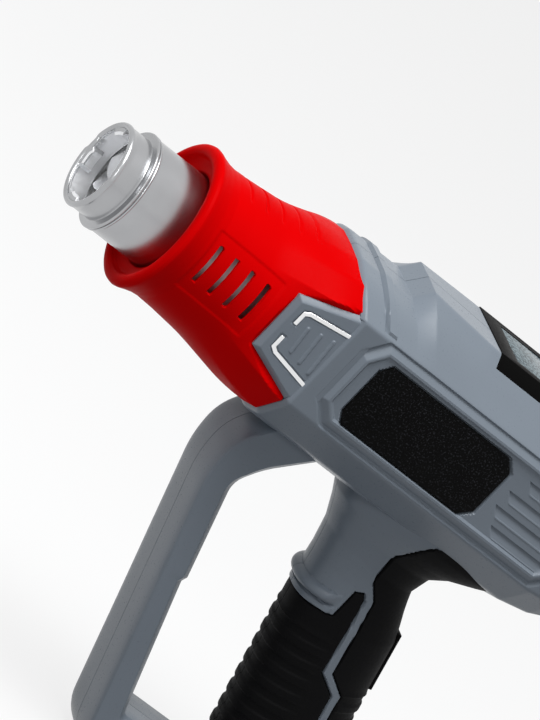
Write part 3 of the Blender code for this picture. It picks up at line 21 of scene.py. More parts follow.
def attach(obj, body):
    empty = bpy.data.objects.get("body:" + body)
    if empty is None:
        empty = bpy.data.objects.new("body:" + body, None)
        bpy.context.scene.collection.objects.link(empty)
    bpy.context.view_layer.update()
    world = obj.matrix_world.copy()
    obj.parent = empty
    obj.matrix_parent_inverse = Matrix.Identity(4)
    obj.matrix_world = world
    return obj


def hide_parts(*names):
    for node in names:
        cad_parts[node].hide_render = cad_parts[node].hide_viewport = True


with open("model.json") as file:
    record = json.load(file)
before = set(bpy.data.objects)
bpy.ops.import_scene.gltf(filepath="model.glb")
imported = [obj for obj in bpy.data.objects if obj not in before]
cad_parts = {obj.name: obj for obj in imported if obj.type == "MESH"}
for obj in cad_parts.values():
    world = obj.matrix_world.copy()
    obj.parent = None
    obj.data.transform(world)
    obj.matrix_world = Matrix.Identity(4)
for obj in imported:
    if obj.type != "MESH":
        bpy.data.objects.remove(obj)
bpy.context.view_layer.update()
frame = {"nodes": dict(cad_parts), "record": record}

LOG = logging.getLogger("hot_air_tool")
MM = 1000.0  # millimetres in a metre
HALF_LENGTH = 127.5  # mm from the mouth to the middle of the tool
AXIS_HEIGHT = 173.0  # mm from the floor to the nozzle's axis
SEAM = 0.15  # mm between the middle plane and each casing half, at the surface
SEAM_ROOT = 0.01  # mm between them inside the wall, where the halves all but touch
TINY = 1e-9  # keeps a division away from zero
FAR = 1e9  # more than any distance

Pair = tuple[float, float]
Outline = tuple[Pair, ...]


class Side(Enum):
    """Which half of the tool a piece belongs to."""

    LEFT = -1
    RIGHT = 1

    @property
    def word(self) -> str:
        """The half's name, as the nodes have it."""
        return self.name.lower()


# Meshes


def to_world(points: np.ndarray) -> np.ndarray:
    """Carries points from the tool's millimetres, x, y, z along the last axis, to metres in the frame."""
    return (points + np.array([-HALF_LENGTH, 0.0, AXIS_HEIGHT])) / MM


def placed(name: str, data: bpy.types.ID) -> bpy.types.Object:
    """An object made of a mesh, a lamp's data or a camera's, put into the scene.

    Args:
        name: The object's name.
        data: What it is made of.

    Returns:
        The new object, at the origin.
    """
    thing = bpy.data.objects.new(name, data)
    bpy.context.scene.collection.objects.link(thing)
    return thing


def add_piece(name: str, points: np.ndarray, faces: np.ndarray, crease: float) -> bpy.types.Object:
    """Makes an object of a closed mesh, its faces turned outwards and its creases kept sharp.

    Args:
        name: The object's name.
        points: Vertices in the tool's millimetres, one row each.
        faces: Corner numbers, four to a face.
        crease: Angle in degrees above which an edge stays sharp.

    Returns:
        The new object.
    """
    mesh = bpy.data.meshes.new(name)
    mesh.from_pydata(to_world(points), [], faces.tolist())
    clean = bmesh.new()
    clean.from_mesh(mesh)
    bmesh.ops.recalc_face_normals(clean, faces=clean.faces)
    clean.to_mesh(mesh)
    clean.free()
    mesh.shade_smooth()
    mesh.set_sharp_from_angle(angle=math.radians(crease))
    return placed(name, mesh)


def grid_quads(rows: int, columns: int, round_rows: bool, round_columns: bool) -> np.ndarray:
    """Corner numbers of a grid's quads: a point, the next row's, its neighbour and the point's neighbour.

    Args:
        rows: Number of rows of points.
        columns: Number of points in a row.
        round_rows: Whether the last row joins the first.
        round_columns: Whether each row closes on itself.

    Returns:
        Array of shape (row, column, 4).
    """
    index = np.arange(rows * columns).reshape(rows, columns)
    if round_rows:
        index = np.vstack((index, index[:1]))
    if round_columns:
        index = np.hstack((index, index[:, :1]))
    return np.stack((index[:-1, :-1], index[1:, :-1], index[1:, 1:], index[:-1, 1:]), axis=-1)


def quad_middles(values: np.ndarray) -> np.ndarray:
    """The value at the middle of each quad of a grid: the mean of two opposite corners."""
    return (values[1:, 1:] + values[:-1, :-1]) / 2


def tube(name: str, points: np.ndarray, crease: float) -> bpy.types.Object:
    """A closed profile carried along a path, its two ends capped by quads folded to the profile's middle.

    Args:
        name: The object's name.
        points: Array of shape (station, profile point, 3) in millimetres.
        crease: Angle in degrees above which an edge stays sharp.

    Returns:
        The new object.
    """
    stations, count = points.shape[:2]
    steps = np.arange(count // 2 - 1)
    cap = np.stack((steps, steps + 1, count - 2 - steps, count - 1 - steps), axis=-1)
    walls = grid_quads(stations, count, False, True).reshape(-1, 4)
    faces = np.vstack((walls, cap, cap[:, ::-1] + (stations - 1) * count))
    return add_piece(name, points.reshape(-1, 3), faces, crease)


def mended(keep: np.ndarray) -> np.ndarray:
    """Fills quads that touch another only at a corner, so that no wall is shared by two gaps.

    Args:
        keep: Which quads are kept, of shape (row, column).

    Returns:
        The same with the corners filled.
    """
    keep = keep.copy()
    falling = keep[:-1, :-1] & keep[1:, 1:] & ~keep[1:, :-1] & ~keep[:-1, 1:]
    rising = ~keep[:-1, :-1] & ~keep[1:, 1:] & keep[1:, :-1] & keep[:-1, 1:]
    keep[1:, :-1] |= falling
    keep[1:, 1:] |= rising
    return keep


def shell(
    name: str, outer: np.ndarray, inner: np.ndarray, crease: float, keep: np.ndarray | None = None,
    closed: bool = False,
) -> bpy.types.Object:
    """A wall between two equal grids, with a face along every border of the kept quads.

    Args:
        name: The object's name.
        outer: Outside points of shape (row, column, 3), in millimetres.
        inner: Inside points of the same shape.
        crease: Angle in degrees above which an edge stays sharp.
        keep: Which quads are kept, of shape (row, column), or None for all of them.
        closed: Whether each row closes on itself.

    Returns:
        The new object.
    """
    rows, columns = outer.shape[:2]
    total = rows * columns
    quads = grid_quads(rows, columns, False, closed)
    quads = quads.reshape(-1, 4) if keep is None else quads[mended(keep)]
    edges = np.concatenate([quads[:, [k, (k + 1) % 4]] for k in range(4)])
    forward = edges[:, 0] * total + edges[:, 1]
    backward = edges[:, 1] * total + edges[:, 0]
    border = edges[~np.isin(forward, backward)]
    walls = np.stack((border[:, 1], border[:, 0], border[:, 0] + total, border[:, 1] + total), axis=-1)
    faces = np.vstack((quads, quads[:, ::-1] + total, walls))
    used, numbers = np.unique(faces, return_inverse=True)
    points = np.vstack((outer.reshape(-1, 3), inner.reshape(-1, 3)))[used]
    return add_piece(name, points, numbers.reshape(faces.shape), crease)


def around_axis(x: np.ndarray, radius: np.ndarray, angle: np.ndarray) -> np.ndarray:
    """Points round the nozzle's axis: x, the radius times the angle's cosine, and times its sine.

    Args:
        x: Distances behind the mouth.
        radius: Distances from the axis.
        angle: Angles from the right side upwards.

    Returns:
        Array of shape (row, column, 3), the three spread to each other's shape.
    """
    return np.stack(np.broadcast_arrays(x, radius * np.cos(angle), radius * np.sin(angle)), axis=-1)


def revolved(name: str, x: np.ndarray, radius: np.ndarray, crease: float) -> bpy.types.Object:
    """A closed profile turned round the nozzle's axis.

    Args:
        name: The object's name.
        x: Distances behind the mouth, of shape (profile point,).
        radius: Radii of shape (profile point, angle).
        crease: Angle in degrees above which an edge stays sharp.

    Returns:
        The new object.
    """
    rows, columns = radius.shape
    angle = np.linspace(0.0, 2 * math.pi, columns, endpoint=False)
    faces = grid_quads(rows, columns, True, True).reshape(-1, 4)
    return add_piece(name, around_axis(x[:, None], radius, angle).reshape(-1, 3), faces, crease)


def outwards(points: np.ndarray, middle: np.ndarray) -> np.ndarray:
    """Unit normals of a grid: the cross product of its two directions, turned away from a middle line.

    Args:
        points: Array of shape (row, column, 3).
        middle: For each point its place on the middle line, in a shape that spreads to points.

    Returns:
        Array of the same shape.
    """
    normal = np.cross(np.gradient(points, axis=0), np.gradient(points, axis=1))
    normal /= np.maximum(np.linalg.norm(normal, axis=-1, keepdims=True), TINY)
    facing = np.sum((points - middle) * normal, axis=-1, keepdims=True)
    return np.where(facing < 0, -normal, normal)


def inside_distance(x: np.ndarray, z: np.ndarray, corners: Sequence[Pair]) -> np.ndarray:
    """Distance from points to an outline: the least over its sides, and positive inside.

    Args:
        x: First coordinates.
        z: Second coordinates.
        corners: The outline's corners in order.

    Returns:
        Signed distances in the shape of x.
    """
    least = np.full(np.shape(x), FAR)
    inside = np.zeros(np.shape(x), dtype=bool)
    for (ax, az), (bx, bz) in zip(corners, [*corners[1:], corners[0]]):
        dx, dz = bx - ax, bz - az
        share = np.clip(((x - ax) * dx + (z - az) * dz) / (dx * dx + dz * dz), 0.0, 1.0)
        least = np.minimum(least, np.hypot(x - ax - share * dx, z - az - share * dz))
        crosses = (az > z) != (bz > z)
        inside ^= crosses & (x < ax + (z - az) * dx / (dz if dz else TINY))
    return np.where(inside, least, -least)


def step(value: np.ndarray, start: float, end: float) -> np.ndarray:
    """A smooth step from 0 at start to 1 at end: 3t squared less 2t cubed."""
    t = np.clip((value - start) / (end - start), 0.0, 1.0)
    return t * t * (3.0 - 2.0 * t)


def bump_between(value: np.ndarray, start: float, end: float, edge: float) -> np.ndarray:
    """1 between start and end, falling smoothly to 0 over the edge's width on both sides."""
    return step(value, start - edge, start) * (1.0 - step(value, end, end + edge))


def spaced(*runs: tuple[float, float, float]) -> np.ndarray:
    """Increasing values from runs of (start, end, greatest spacing), joined at their shared ends."""
    parts = [np.linspace(a, b, max(2, int(math.ceil((b - a) / s)) + 1)) for a, b, s in runs]
    return np.unique(np.round(np.concatenate(parts), 4))


def rounded_path(
    corners: np.ndarray, cuts: Sequence[float], shares: Sequence[np.ndarray], bend: int
) -> np.ndarray:
    """Points along many polylines at once: straight runs, and a quadratic curve over each inner corner.

    Args:
        corners: Array of shape (row, corner, 2).
        cuts: Distance from each inner corner at which its curve starts and ends.
        shares: For each run, the parts of its length at which points lie.
        bend: Number of points in each curve.

    Returns:
        Array of shape (row, point, 2).
    """
    runs = np.diff(corners, axis=1)
    ways = runs / np.maximum(np.linalg.norm(runs, axis=-1, keepdims=True), TINY)
    ends = (0.0, *cuts, 0.0)
    t = (np.arange(1, bend + 1) / (bend + 1))[None, :, None]
    parts = []
    for k, share in enumerate(shares):
        first = (corners[:, k] + ways[:, k] * ends[k])[:, None]
        final = (corners[:, k + 1] - ways[:, k] * ends[k + 1])[:, None]
        parts.append(first * (1 - share[:, None]) + final * share[:, None])
        if k < len(cuts):
            corner = corners[:, k + 1, None]
            leave = corner + (ways[:, k + 1] * cuts[k])[:, None]
            parts.append(final * (1 - t) ** 2 + 2 * corner * t * (1 - t) + leave * t * t)
    return np.concatenate(parts, axis=1)


# Finishes


def linear(code: str) -> tuple[float, float, float, float]:
    """An sRGB hex colour as the linear colour that nodes take.

    Args:
        code: Six hex digits after a number sign.

    Returns:
        Linear red, green, blue and 1.
    """
    parts = [int(code[k : k + 2], 16) / 255.0 for k in (1, 3, 5)]
    red, green, blue = (p / 12.92 if p <= 0.04045 else ((p + 0.055) / 1.055) ** 2.4 for p in parts)
    return red, green, blue, 1.0


def add_node(tree: bpy.types.NodeTree, kind: str, settings: dict, links: dict) -> bpy.types.Node:
    """Adds a node, sets its properties and inputs, and links its inputs.

    Args:
        tree: The material's or world's nodes.
        kind: Blender's name of the node type.
        settings: Property names, or input names or numbers, with their values.
        links: Input names or numbers with the output socket that each takes.

    Returns:
        The new node.
    """
    node = tree.nodes.new(kind)
    for name, value in settings.items():
        if isinstance(name, str) and hasattr(node, name):
            setattr(node, name, value)
        else:
            node.inputs[name].default_value = value
    for name, socket in links.items():
        tree.links.new(socket, node.inputs[name])
    return node


@dataclass(frozen=True)
class Finish:
    """One real material: its colour, gloss, colour variation and fine relief.

    The fine relief is noise whose grain has a real size, pressed into the surface by a bump of real depth.
    """

    name: str
    colour: str
    roughness: float
    metallic: float = 0.0
    grain_mm: float = 0.5
    relief_mm: float = 0.02
    variation: float = 0.04
    variation_mm: float = 12.0
    gloss_variation: float = 0.06
    stretch: tuple[float, float, float] = (1.0, 1.0, 1.0)
    specular: float = 0.5
    speckle: str = ""
    speckle_mm: float = 1.0
    speckle_lines: bool = False

    def material(self) -> bpy.types.Material:
        """The finish's material, made once.

        Returns:
            A node material that reads Object coordinates.
        """
        if self.name in bpy.data.materials:
            return bpy.data.materials[self.name]
        material = bpy.data.materials.new(self.name)
        material.use_nodes = True
        material.diffuse_color = linear(self.colour)
        tree = material.node_tree
        place = add_node(tree, "ShaderNodeTexCoord", {}, {}).outputs["Object"]
        drawn = add_node(tree, "ShaderNodeMapping", {"Scale": self.stretch}, {"Vector": place}).outputs[0]
        tone = self.noise(tree, place, self.variation_mm, 2.0)
        shade = self.spread(tree, tone, 1.0, self.variation)
        plain = {"operation": "SCALE", 0: linear(self.colour)[:3]}
        colour = add_node(tree, "ShaderNodeVectorMath", plain, {"Scale": shade}).outputs[0]
        if self.speckle:
            colour = self.speckled(tree, place, colour)
        grain = self.noise(tree, drawn, self.grain_mm, 3.0)
        pressed = {"Strength": 1.0, "Distance": self.relief_mm / MM}
        relief = add_node(tree, "ShaderNodeBump", pressed, {"Height": grain}).outputs[0]
        gloss = self.spread(tree, grain, self.roughness, self.gloss_variation)
        shader = tree.nodes["Principled BSDF"]
        for name, socket in (("Base Color", colour), ("Roughness", gloss), ("Normal", relief)):
            tree.links.new(socket, shader.inputs[name])
        shader.inputs["Metallic"].default_value = self.metallic
        shader.inputs["Specular IOR Level"].default_value = self.specular
        return material

    def noise(
        self, tree: bpy.types.NodeTree, place: bpy.types.NodeSocket, size_mm: float, detail: float
    ) -> bpy.types.NodeSocket:
        """Noise whose lumps, each half a wave, are about the given size.

        Args:
            tree: The material's nodes.
            place: Coordinates in metres.
            size_mm: Size of a lump in millimetres.
            detail: Octaves of finer noise.

        Returns:
            The noise's height socket.
        """
        settings = {"Scale": MM / (2 * size_mm), "Detail": detail, "Roughness": 0.55}
        return add_node(tree, "ShaderNodeTexNoise", settings, {"Vector": place}).outputs["Fac"]

    def spread(
        self, tree: bpy.types.NodeTree, height: bpy.types.NodeSocket, middle: float, swing: float
    ) -> bpy.types.NodeSocket:
        """A noise's heights, most of which lie from 0.3 to 0.7, spread over a range round a middle value.

        Args:
            tree: The material's nodes.
            height: The noise's height socket.
            middle: The range's middle.
            swing: How far it reaches to either side.

        Returns:
            The spread value's socket.
        """
        span = {"From Min": 0.3, "From Max": 0.7, "To Min": middle - swing, "To Max": middle + swing}
        return add_node(tree, "ShaderNodeMapRange", span, {"Value": height}).outputs[0]

    def speckled(
        self, tree: bpy.types.NodeTree, place: bpy.types.NodeSocket, colour: bpy.types.NodeSocket
    ) -> bpy.types.NodeSocket:
        """Mixes small irregular flecks, or a net of fine lines, of a second colour into the first.

        Args:
            tree: The material's nodes.
            place: Coordinates in metres.
            colour: The colour underneath.

        Returns:
            The mixed colour's socket.
        """
        if self.speckle_lines:  # dark along the cells' borders
            cells = {"feature": "DISTANCE_TO_EDGE", "Scale": MM / self.speckle_mm, "Randomness": 1.0}
            height = add_node(tree, "ShaderNodeTexVoronoi", cells, {"Vector": place}).outputs["Distance"]
            span = {"From Min": 0.16, "From Max": 0.02}
        else:  # only on the noise's peaks
            height = self.noise(tree, place, self.speckle_mm, 2.0)
            span = {"From Min": 0.56, "From Max": 0.66}
        flecks = add_node(tree, "ShaderNodeMapRange", span, {"Value": height}).outputs[0]
        second = {"data_type": "RGBA", 7: linear(self.speckle)}
        return add_node(tree, "ShaderNodeMix", second, {0: flecks, 6: colour}).outputs[2]


# Glass-filled nylon, moulded in a spark-eroded tool: fine matt grain that softens highlights
CASING_NYLON = Finish(
    "Moulded slate nylon", "#78818b", 0.32, grain_mm=0.45, relief_mm=0.008, variation=0.03, variation_mm=18.0,
    specular=0.22,
)
# The same nylon in signal red, moulded coarser: a deep even colour with next to no highlight
SHROUD_NYLON = Finish(
    "Moulded red nylon", "#d00103", 0.40, grain_mm=0.6, relief_mm=0.010, variation=0.04, variation_mm=22.0,
    specular=0.01,
)
# Thermoplastic rubber moulded over the grip: black and matt, with a broad dull sheen
GRIP_RUBBER = Finish(
    "Overmoulded rubber", "#0c0c0d", 0.60, grain_mm=0.5, relief_mm=0.03, variation=0.10, specular=0.05
)
# Stainless sheet, drawn and rolled: bright, with faint lines along the drawing direction
DRAWN_STEEL = Finish(
    "Drawn stainless steel", "#a9aaac", 0.26, 1.0, grain_mm=0.5, relief_mm=0.0008, variation=0.06,
    variation_mm=9.0, gloss_variation=0.01, stretch=(0.08, 1.0, 1.0),
)
# Brushed stainless sheet for the blades, the hub and the tube's covered stretches, painted much paler than
# the drawn tube: painted light where the steel lies in shade inside the mouth and under the shroud
PAINTED_LIGHT_STEEL = Finish(
    "Polished stainless blades", "#e6e7e9", 0.55, 1.0, grain_mm=1.0, relief_mm=0.006, variation=0.06,
    variation_mm=5.0,
)
# Chromed plastic strip: a bright, almost smooth mirror
CHROME_STRIP = Finish(
    "Chromed strip", "#e6e7e8", 0.12, 1.0, grain_mm=2.0, relief_mm=0.004, variation=0.02, gloss_variation=0.03
)
# Printed polyester plate, laid bare: black film with a fine silver fleck
PLATE_FILM = Finish(
    "Bare black plate film", "#070707", 0.50, grain_mm=0.5, relief_mm=0.008, variation=0.15, specular=0.04,
    speckle="#2a2b2e", speckle_mm=0.34,
)
# Moulded black polycarbonate: satin, a little smoother than the casing
BLACK_MOULDING = Finish(
    "Satin black moulding", "#090909", 0.45, grain_mm=0.5, relief_mm=0.012, variation=0.06, variation_mm=10.0,
    specular=0.03,
)
# Clear acrylic over a segment display: pale blue-grey, glossy, with a net of darker lines
DISPLAY_ACRYLIC = Finish(
    "Acrylic display window", "#6c7c82", 0.16, grain_mm=6.0, relief_mm=0.002, variation=0.05,
    gloss_variation=0.02, speckle="#2c3b42", speckle_mm=2.2, speckle_lines=True, specular=0.12,
)
# Zinc-plated screw heads: pale metal with a slightly frosted face
ZINC_PLATE = Finish(
    "Zinc-plated steel", "#9fa3a6", 0.30, 1.0, grain_mm=0.8, relief_mm=0.008, variation=0.08, variation_mm=3.0
)
# Mica paper: warm and layered, with soft pearly flecks
MICA_PAPER = Finish(
    "Mica paper", "#c3b18b", 0.45, grain_mm=1.2, relief_mm=0.02, variation=0.12, variation_mm=4.0,
    speckle="#e6dcc2", speckle_mm=2.0,
)
# Unglazed cordierite: chalky off-white with a coarse dry grain
UNGLAZED_CERAMIC = Finish(
    "Unglazed cordierite", "#dcd8cd", 0.72, grain_mm=0.5, relief_mm=0.03, variation=0.05, variation_mm=5.0
)
# Turned brass: warm metal with fine lathe marks
TURNED_BRASS = Finish(
    "Turned brass", "#c7a04c", 0.28, 1.0, grain_mm=0.6, relief_mm=0.006, variation=0.06,
    stretch=(6.0, 1.0, 1.0),
)
# Enamelled copper: winding and resistance wire, orange-brown and satin
COPPER_WIRE = Finish(
    "Enamelled copper", "#b8693b", 0.30, 1.0, grain_mm=0.6, relief_mm=0.006, variation=0.08, variation_mm=3.0
)
# Glass-fibre board with solder resist: deep green, glossy, with the weave faintly showing
COATED_BOARD = Finish(
    "Coated glass-fibre board", "#14603a", 0.30, grain_mm=0.7, relief_mm=0.010, variation=0.08,
    variation_mm=6.0,
)
# Plain moulded polybutylene: matt off-white, for the inner pieces
PALE_MOULDING = Finish(
    "Pale moulding", "#e3e2dc", 0.48, grain_mm=0.6, relief_mm=0.012, variation=0.03, variation_mm=15.0
)
# Sintered ferrite: dark grey, dense and slightly rough
SINTERED_FERRITE = Finish(
    "Sintered ferrite", "#3b3b3e", 0.60, grain_mm=0.4, relief_mm=0.02, variation=0.08, variation_mm=4.0
)
SLOT_FINISHES = {
    "casing": CASING_NYLON,
    "shroud": SHROUD_NYLON,
    "steel": ZINC_PLATE,
    "chrome": CHROME_STRIP,
    "rubber": GRIP_RUBBER,
    "black": BLACK_MOULDING,
    "glass": DISPLAY_ACRYLIC,
    "mica": MICA_PAPER,
    "ceramic": UNGLAZED_CERAMIC,
    "brass": TURNED_BRASS,
    "copper": COPPER_WIRE,
    "board": COATED_BOARD,
    "white": PALE_MOULDING,
    "ferrite": SINTERED_FERRITE,
}


def dress(
    piece: bpy.types.Object, finish: Finish, body: str = "housing", nodes: Sequence[str] = ()
) -> bpy.types.Object:
    """Gives a new piece its finish, its body and the nodes that it stands for.

    Args:
        piece: The finished piece.
        finish: Its surface.
        body: The body that it moves with.
        nodes: CAD nodes that it replaces.

    Returns:
        The same piece.
    """
    piece.data.materials.clear()
    piece.data.materials.append(finish.material())
    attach(piece, body)
    if nodes:
        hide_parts(*nodes)
    LOG.info("%s: %d faces, moves with %s", piece.name, len(piece.data.polygons), body)
    return piece


# Casing


@dataclass(frozen=True)
class BodyForm:
    """The body without its details: eight corners to a half section, read off lines between stations in x.

    From the ramp's top back, over the arch's run, the section changes from an arched top to a flat one.
    """

    ramp: Pair = (123.0, 132.0)  # from its foot to its top
    ramp_heights: Pair = (32.5, 40.0)
    ramp_crowns: Pair = (2.2, 1.2)
    edge_share: float = 0.85  # of the crown, at the flat's edge
    bottom: float = -33.5
    ends: tuple = (97.0, 100.0, 219.0, 231.0, 243.0, 255.0)  # where the top drops and the bottom rises
    top_drops: tuple = (0.6, 0.0, 0.0, 0.6, 3.0, 6.5)
    bottom_rises: tuple = (0.6, 0.0, 0.0, 2.5, 9.0, 13.0)
    flat_stations: tuple = (123.0, 132.0, 219.0, 255.0)
    flats: tuple = (22.0, 18.5, 18.5, 16.0)
    rear: tuple = (219.0, 243.0, 255.0)
    side: float = 36.5
    side_draws: tuple = (0.0, 2.5, 6.0)
    shoulder: float = 23.0
    shoulder_drops: tuple = (0.0, 2.0, 4.0)
    chine: float = -17.0
    chine_share: float = 0.45
    keel_height: float = 4.0
    keel_half: float = 12.0
    arch_run: float = 18.0
    arch_flat: float = 12.5
    bow: float = 3.0  # how far the arch stands out beyond a straight slope
    bow_share: float = 0.55  # how far down the slope it does so most
    nose_end: float = 105.0
    nose_run: float = 30.0
    nose_draw: float = 3.5

    def underside(self, x: np.ndarray) -> np.ndarray:
        """Height of the body's bottom, which rises at both ends."""
        return self.bottom + np.interp(x, self.ends, self.bottom_rises)

    def section(self, x: np.ndarray) -> np.ndarray:
        """Corners of the half section at each x, from the top's middle round to the bottom's.

        Args:
            x: Distances behind the mouth.

        Returns:
            Array of shape (x, 8, 2): (side distance, height).
        """
        top = np.interp(x, self.ramp, self.ramp_heights) - np.interp(x, self.ends, self.top_drops)
        bottom = self.underside(x)
        side = self.side - np.interp(x, self.rear, self.side_draws)
        shoulder = self.shoulder - np.interp(x, self.rear, self.shoulder_drops)
        chine = self.chine + (bottom - self.bottom) * self.chine_share
        keel = bottom + self.keel_height
        middle = np.zeros_like(x)
        arch = 1.0 - np.clip((x - self.ramp[1]) / self.arch_run, 0.0, 1.0)
        crown = np.interp(x, self.ramp, self.ramp_crowns) * arch
        flat = np.interp(x, self.flat_stations, self.flats)
        flat = flat + (self.arch_flat - flat) * arch
        edge = top + self.edge_share * crown
        bow = edge + (shoulder - edge) * self.bow_share + self.bow * arch
        corners = (
            (middle, top + crown), (flat, edge), (flat + (side - flat) * self.bow_share, bow),
            (side, shoulder), (side, chine), (side - (chine - keel), keel),
            (middle + self.keel_half, bottom), (middle, bottom),
        )
        return np.stack([np.stack(corner, axis=-1) for corner in corners], axis=1)

    def side_face(self, x: np.ndarray) -> np.ndarray:
        """Distance of the side panel from the middle, which draws in ahead of the body and at the rear."""
        front = self.nose_draw * np.clip((self.nose_end - x) / self.nose_run, 0.0, 1.0)
        return self.side - front - np.interp(x, self.rear[:2], self.side_draws[:2])


BODY = BodyForm()


@dataclass
class CasingBody:
    """One half of the casing's body: faceted walls with the framed side panel, louvres and front band."""

    side: Side
    wall: float = 2.5
    runs: tuple = (  # start, end and greatest spacing of the stations
        (97.0, 99.1, 0.3), (99.1, 105.5, 0.8), (105.5, 113.5, 0.3), (113.5, 134.0, 0.7), (134.0, 153.7, 1.2),
        (153.7, 183.2, 0.8), (183.2, 232.3, 0.42), (232.3, 243.0, 1.0),
    )
    wall_columns: tuple[float, float, float] = (-16.0, 22.0, 0.42)  # lowest, highest, spacing
    cuts: tuple = (1.2, 7.0, 1.0, 1.2, 1.5, 2.0)  # rounding of the section's inner corners
    panel_start: float = 102.0
    panel_facing: Pair = (0.90, 0.995)  # sideways share of the normal over which the panel sets in
    frame_corners: Outline = (
        (106.5, -7.5), (106.5, 13.1), (112.2, 21.3), (216.5, 21.3),
        (230.5, 8.0), (230.5, 0.8), (215.5, -14.2), (113.5, -14.2),
    )
    frame_profile: Outline = (  # distance inside the corners, height
        (-2.4, 0.0), (-1.6, -0.8), (-0.8, -0.8), (0.0, -0.2), (1.6, 1.05), (2.6, 1.1), (3.4, 0.1),
    )
    label_corners: Outline = (
        (115.0, -6.5), (115.0, 12.0), (118.15, 16.5), (175.5, 16.5),
        (180.0, 12.0), (180.0, -6.5), (175.5, -11.0), (118.15, -11.0),
    )
    label_seat: float = 1.2
    louvres: Outline = ((187.5, 14.5), (184.0, 7.5), (184.0, 0.5), (188.5, -6.5))  # front end and top edge
    louvre_height: float = 3.9
    louvre_depth: float = 1.0
    louvre_slant: float = 0.78
    louvre_lip: float = 0.22
    louvre_edges: tuple = (0.02, -0.04, -0.3, -3.6, -3.8, -4.2, -4.4)  # columns beside each top edge
    groove: float = 108.1
    groove_half: float = 0.35
    groove_depth: float = 0.7
    groove_lean: float = 0.5
    groove_lean_foot: float = 23.0
    groove_lean_height: float = 8.0
    band: Pair = (1.1, 4.6)  # behind the groove
    band_height: float = 0.95
    band_foot: float = 24.0
    rim: float = 99.0
    rim_run: float = 2.0
    rim_fall: float = 1.5
    lean: float = 0.55  # mm forward for each mm of height above the foot
    lean_foot: float = 22.5
    lean_height: float = 19.0
    upright: Pair = (132.0, 153.0)  # where the lean fades out
    screw_sites: Outline = ((140.0, 31.0), (230.0, 26.5))
    screw_well: float = 2.2
    screw_radius: float = 3.6
    bezel_seat: Pair = (153.7, 232.3)
    bezel_half: float = 23.2
    bezel_foot: float = 30.0

    def side_columns(self) -> np.ndarray:
        """Parts of the side wall's height at which columns of points lie, closer at the louvres' edges.

        Returns:
            Increasing values from 0 at the wall's top to 1 at its foot.
        """
        low, high, spacing = self.wall_columns
        lines = np.arange(low, high + TINY, spacing)
        edges = [z + shift for _, z in self.louvres for shift in self.louvre_edges]
        height = np.unique(np.round(np.concatenate((lines, edges)), 3))
        return np.clip((high - height[::-1]) / (high - low), 0.0, 1.0)

    def surface(self) -> np.ndarray:
        """The body's plain outside as a grid.

        Returns:
            Array of shape (station along x, point round the half section, 3).
        """
        x = spaced(*self.runs)
        few = np.linspace(0.0, 1.0, 8)
        slope = np.append(few * 0.974, 1.0)  # ends with a point close to the bow's corner
        shares = [few, slope, few, self.side_columns(), few, few, few]
        section = rounded_path(BODY.section(x), self.cuts, shares, 6)
        across = np.maximum(section[..., 0], SEAM) * self.side.value
        return np.stack(np.broadcast_arrays(x[:, None], across, section[..., 1]), axis=-1)

    def panel_height(self, x: np.ndarray, z: np.ndarray) -> np.ndarray:
        """How far the side panel stands out: the frame's profile by distance, the plate's seat, the louvres.

        Args:
            x: Distances behind the mouth.
            z: Heights over the axis.

        Returns:
            Heights in millimetres, of the same shape.
        """
        depth = inside_distance(x, z, self.frame_corners)
        rise = np.interp(depth, *zip(*self.frame_profile))
        rise = rise - self.label_seat * step(inside_distance(x, z, self.label_corners), -0.6, -0.3)
        behind_label = x > self.label_corners[4][0]
        for front, high in self.louvres:
            down = high - z
            start = front + down * self.louvre_slant
            inside = step(x, start, start + 0.8) * step(depth, 3.4, 4.2) * behind_label
            scoop = np.clip(1.0 - down / self.louvre_height, 0.0, 1.0) * (down >= -0.01)
            lip = bump_between(down, self.louvre_height - 0.1, self.louvre_height + 0.3, 0.2)
            rise = rise + (self.louvre_lip * lip - self.louvre_depth * scoop) * inside
        return rise

    def front_height(self, x: np.ndarray, z: np.ndarray) -> np.ndarray:
        """The groove and raised band over the slopes and top, and the softened front edge.

        Args:
            x: Distances behind the mouth.
            z: Heights over the axis.

        Returns:
            Heights in millimetres, of the same shape.
        """
        up = np.clip((z - self.groove_lean_foot) / self.groove_lean_height, 0.0, 1.0)
        behind = x - (self.groove - self.groove_lean * up)
        band = self.band_height * bump_between(behind, *self.band, 0.4)
        groove = self.groove_depth * bump_between(behind, -self.groove_half, self.groove_half, 0.3)
        rim = self.rim_fall * np.clip((self.rim - x) / self.rim_run, 0.0, 1.0) ** 1.7
        return step(z, self.band_foot, self.band_foot + 0.5) * (band - groove) - rim

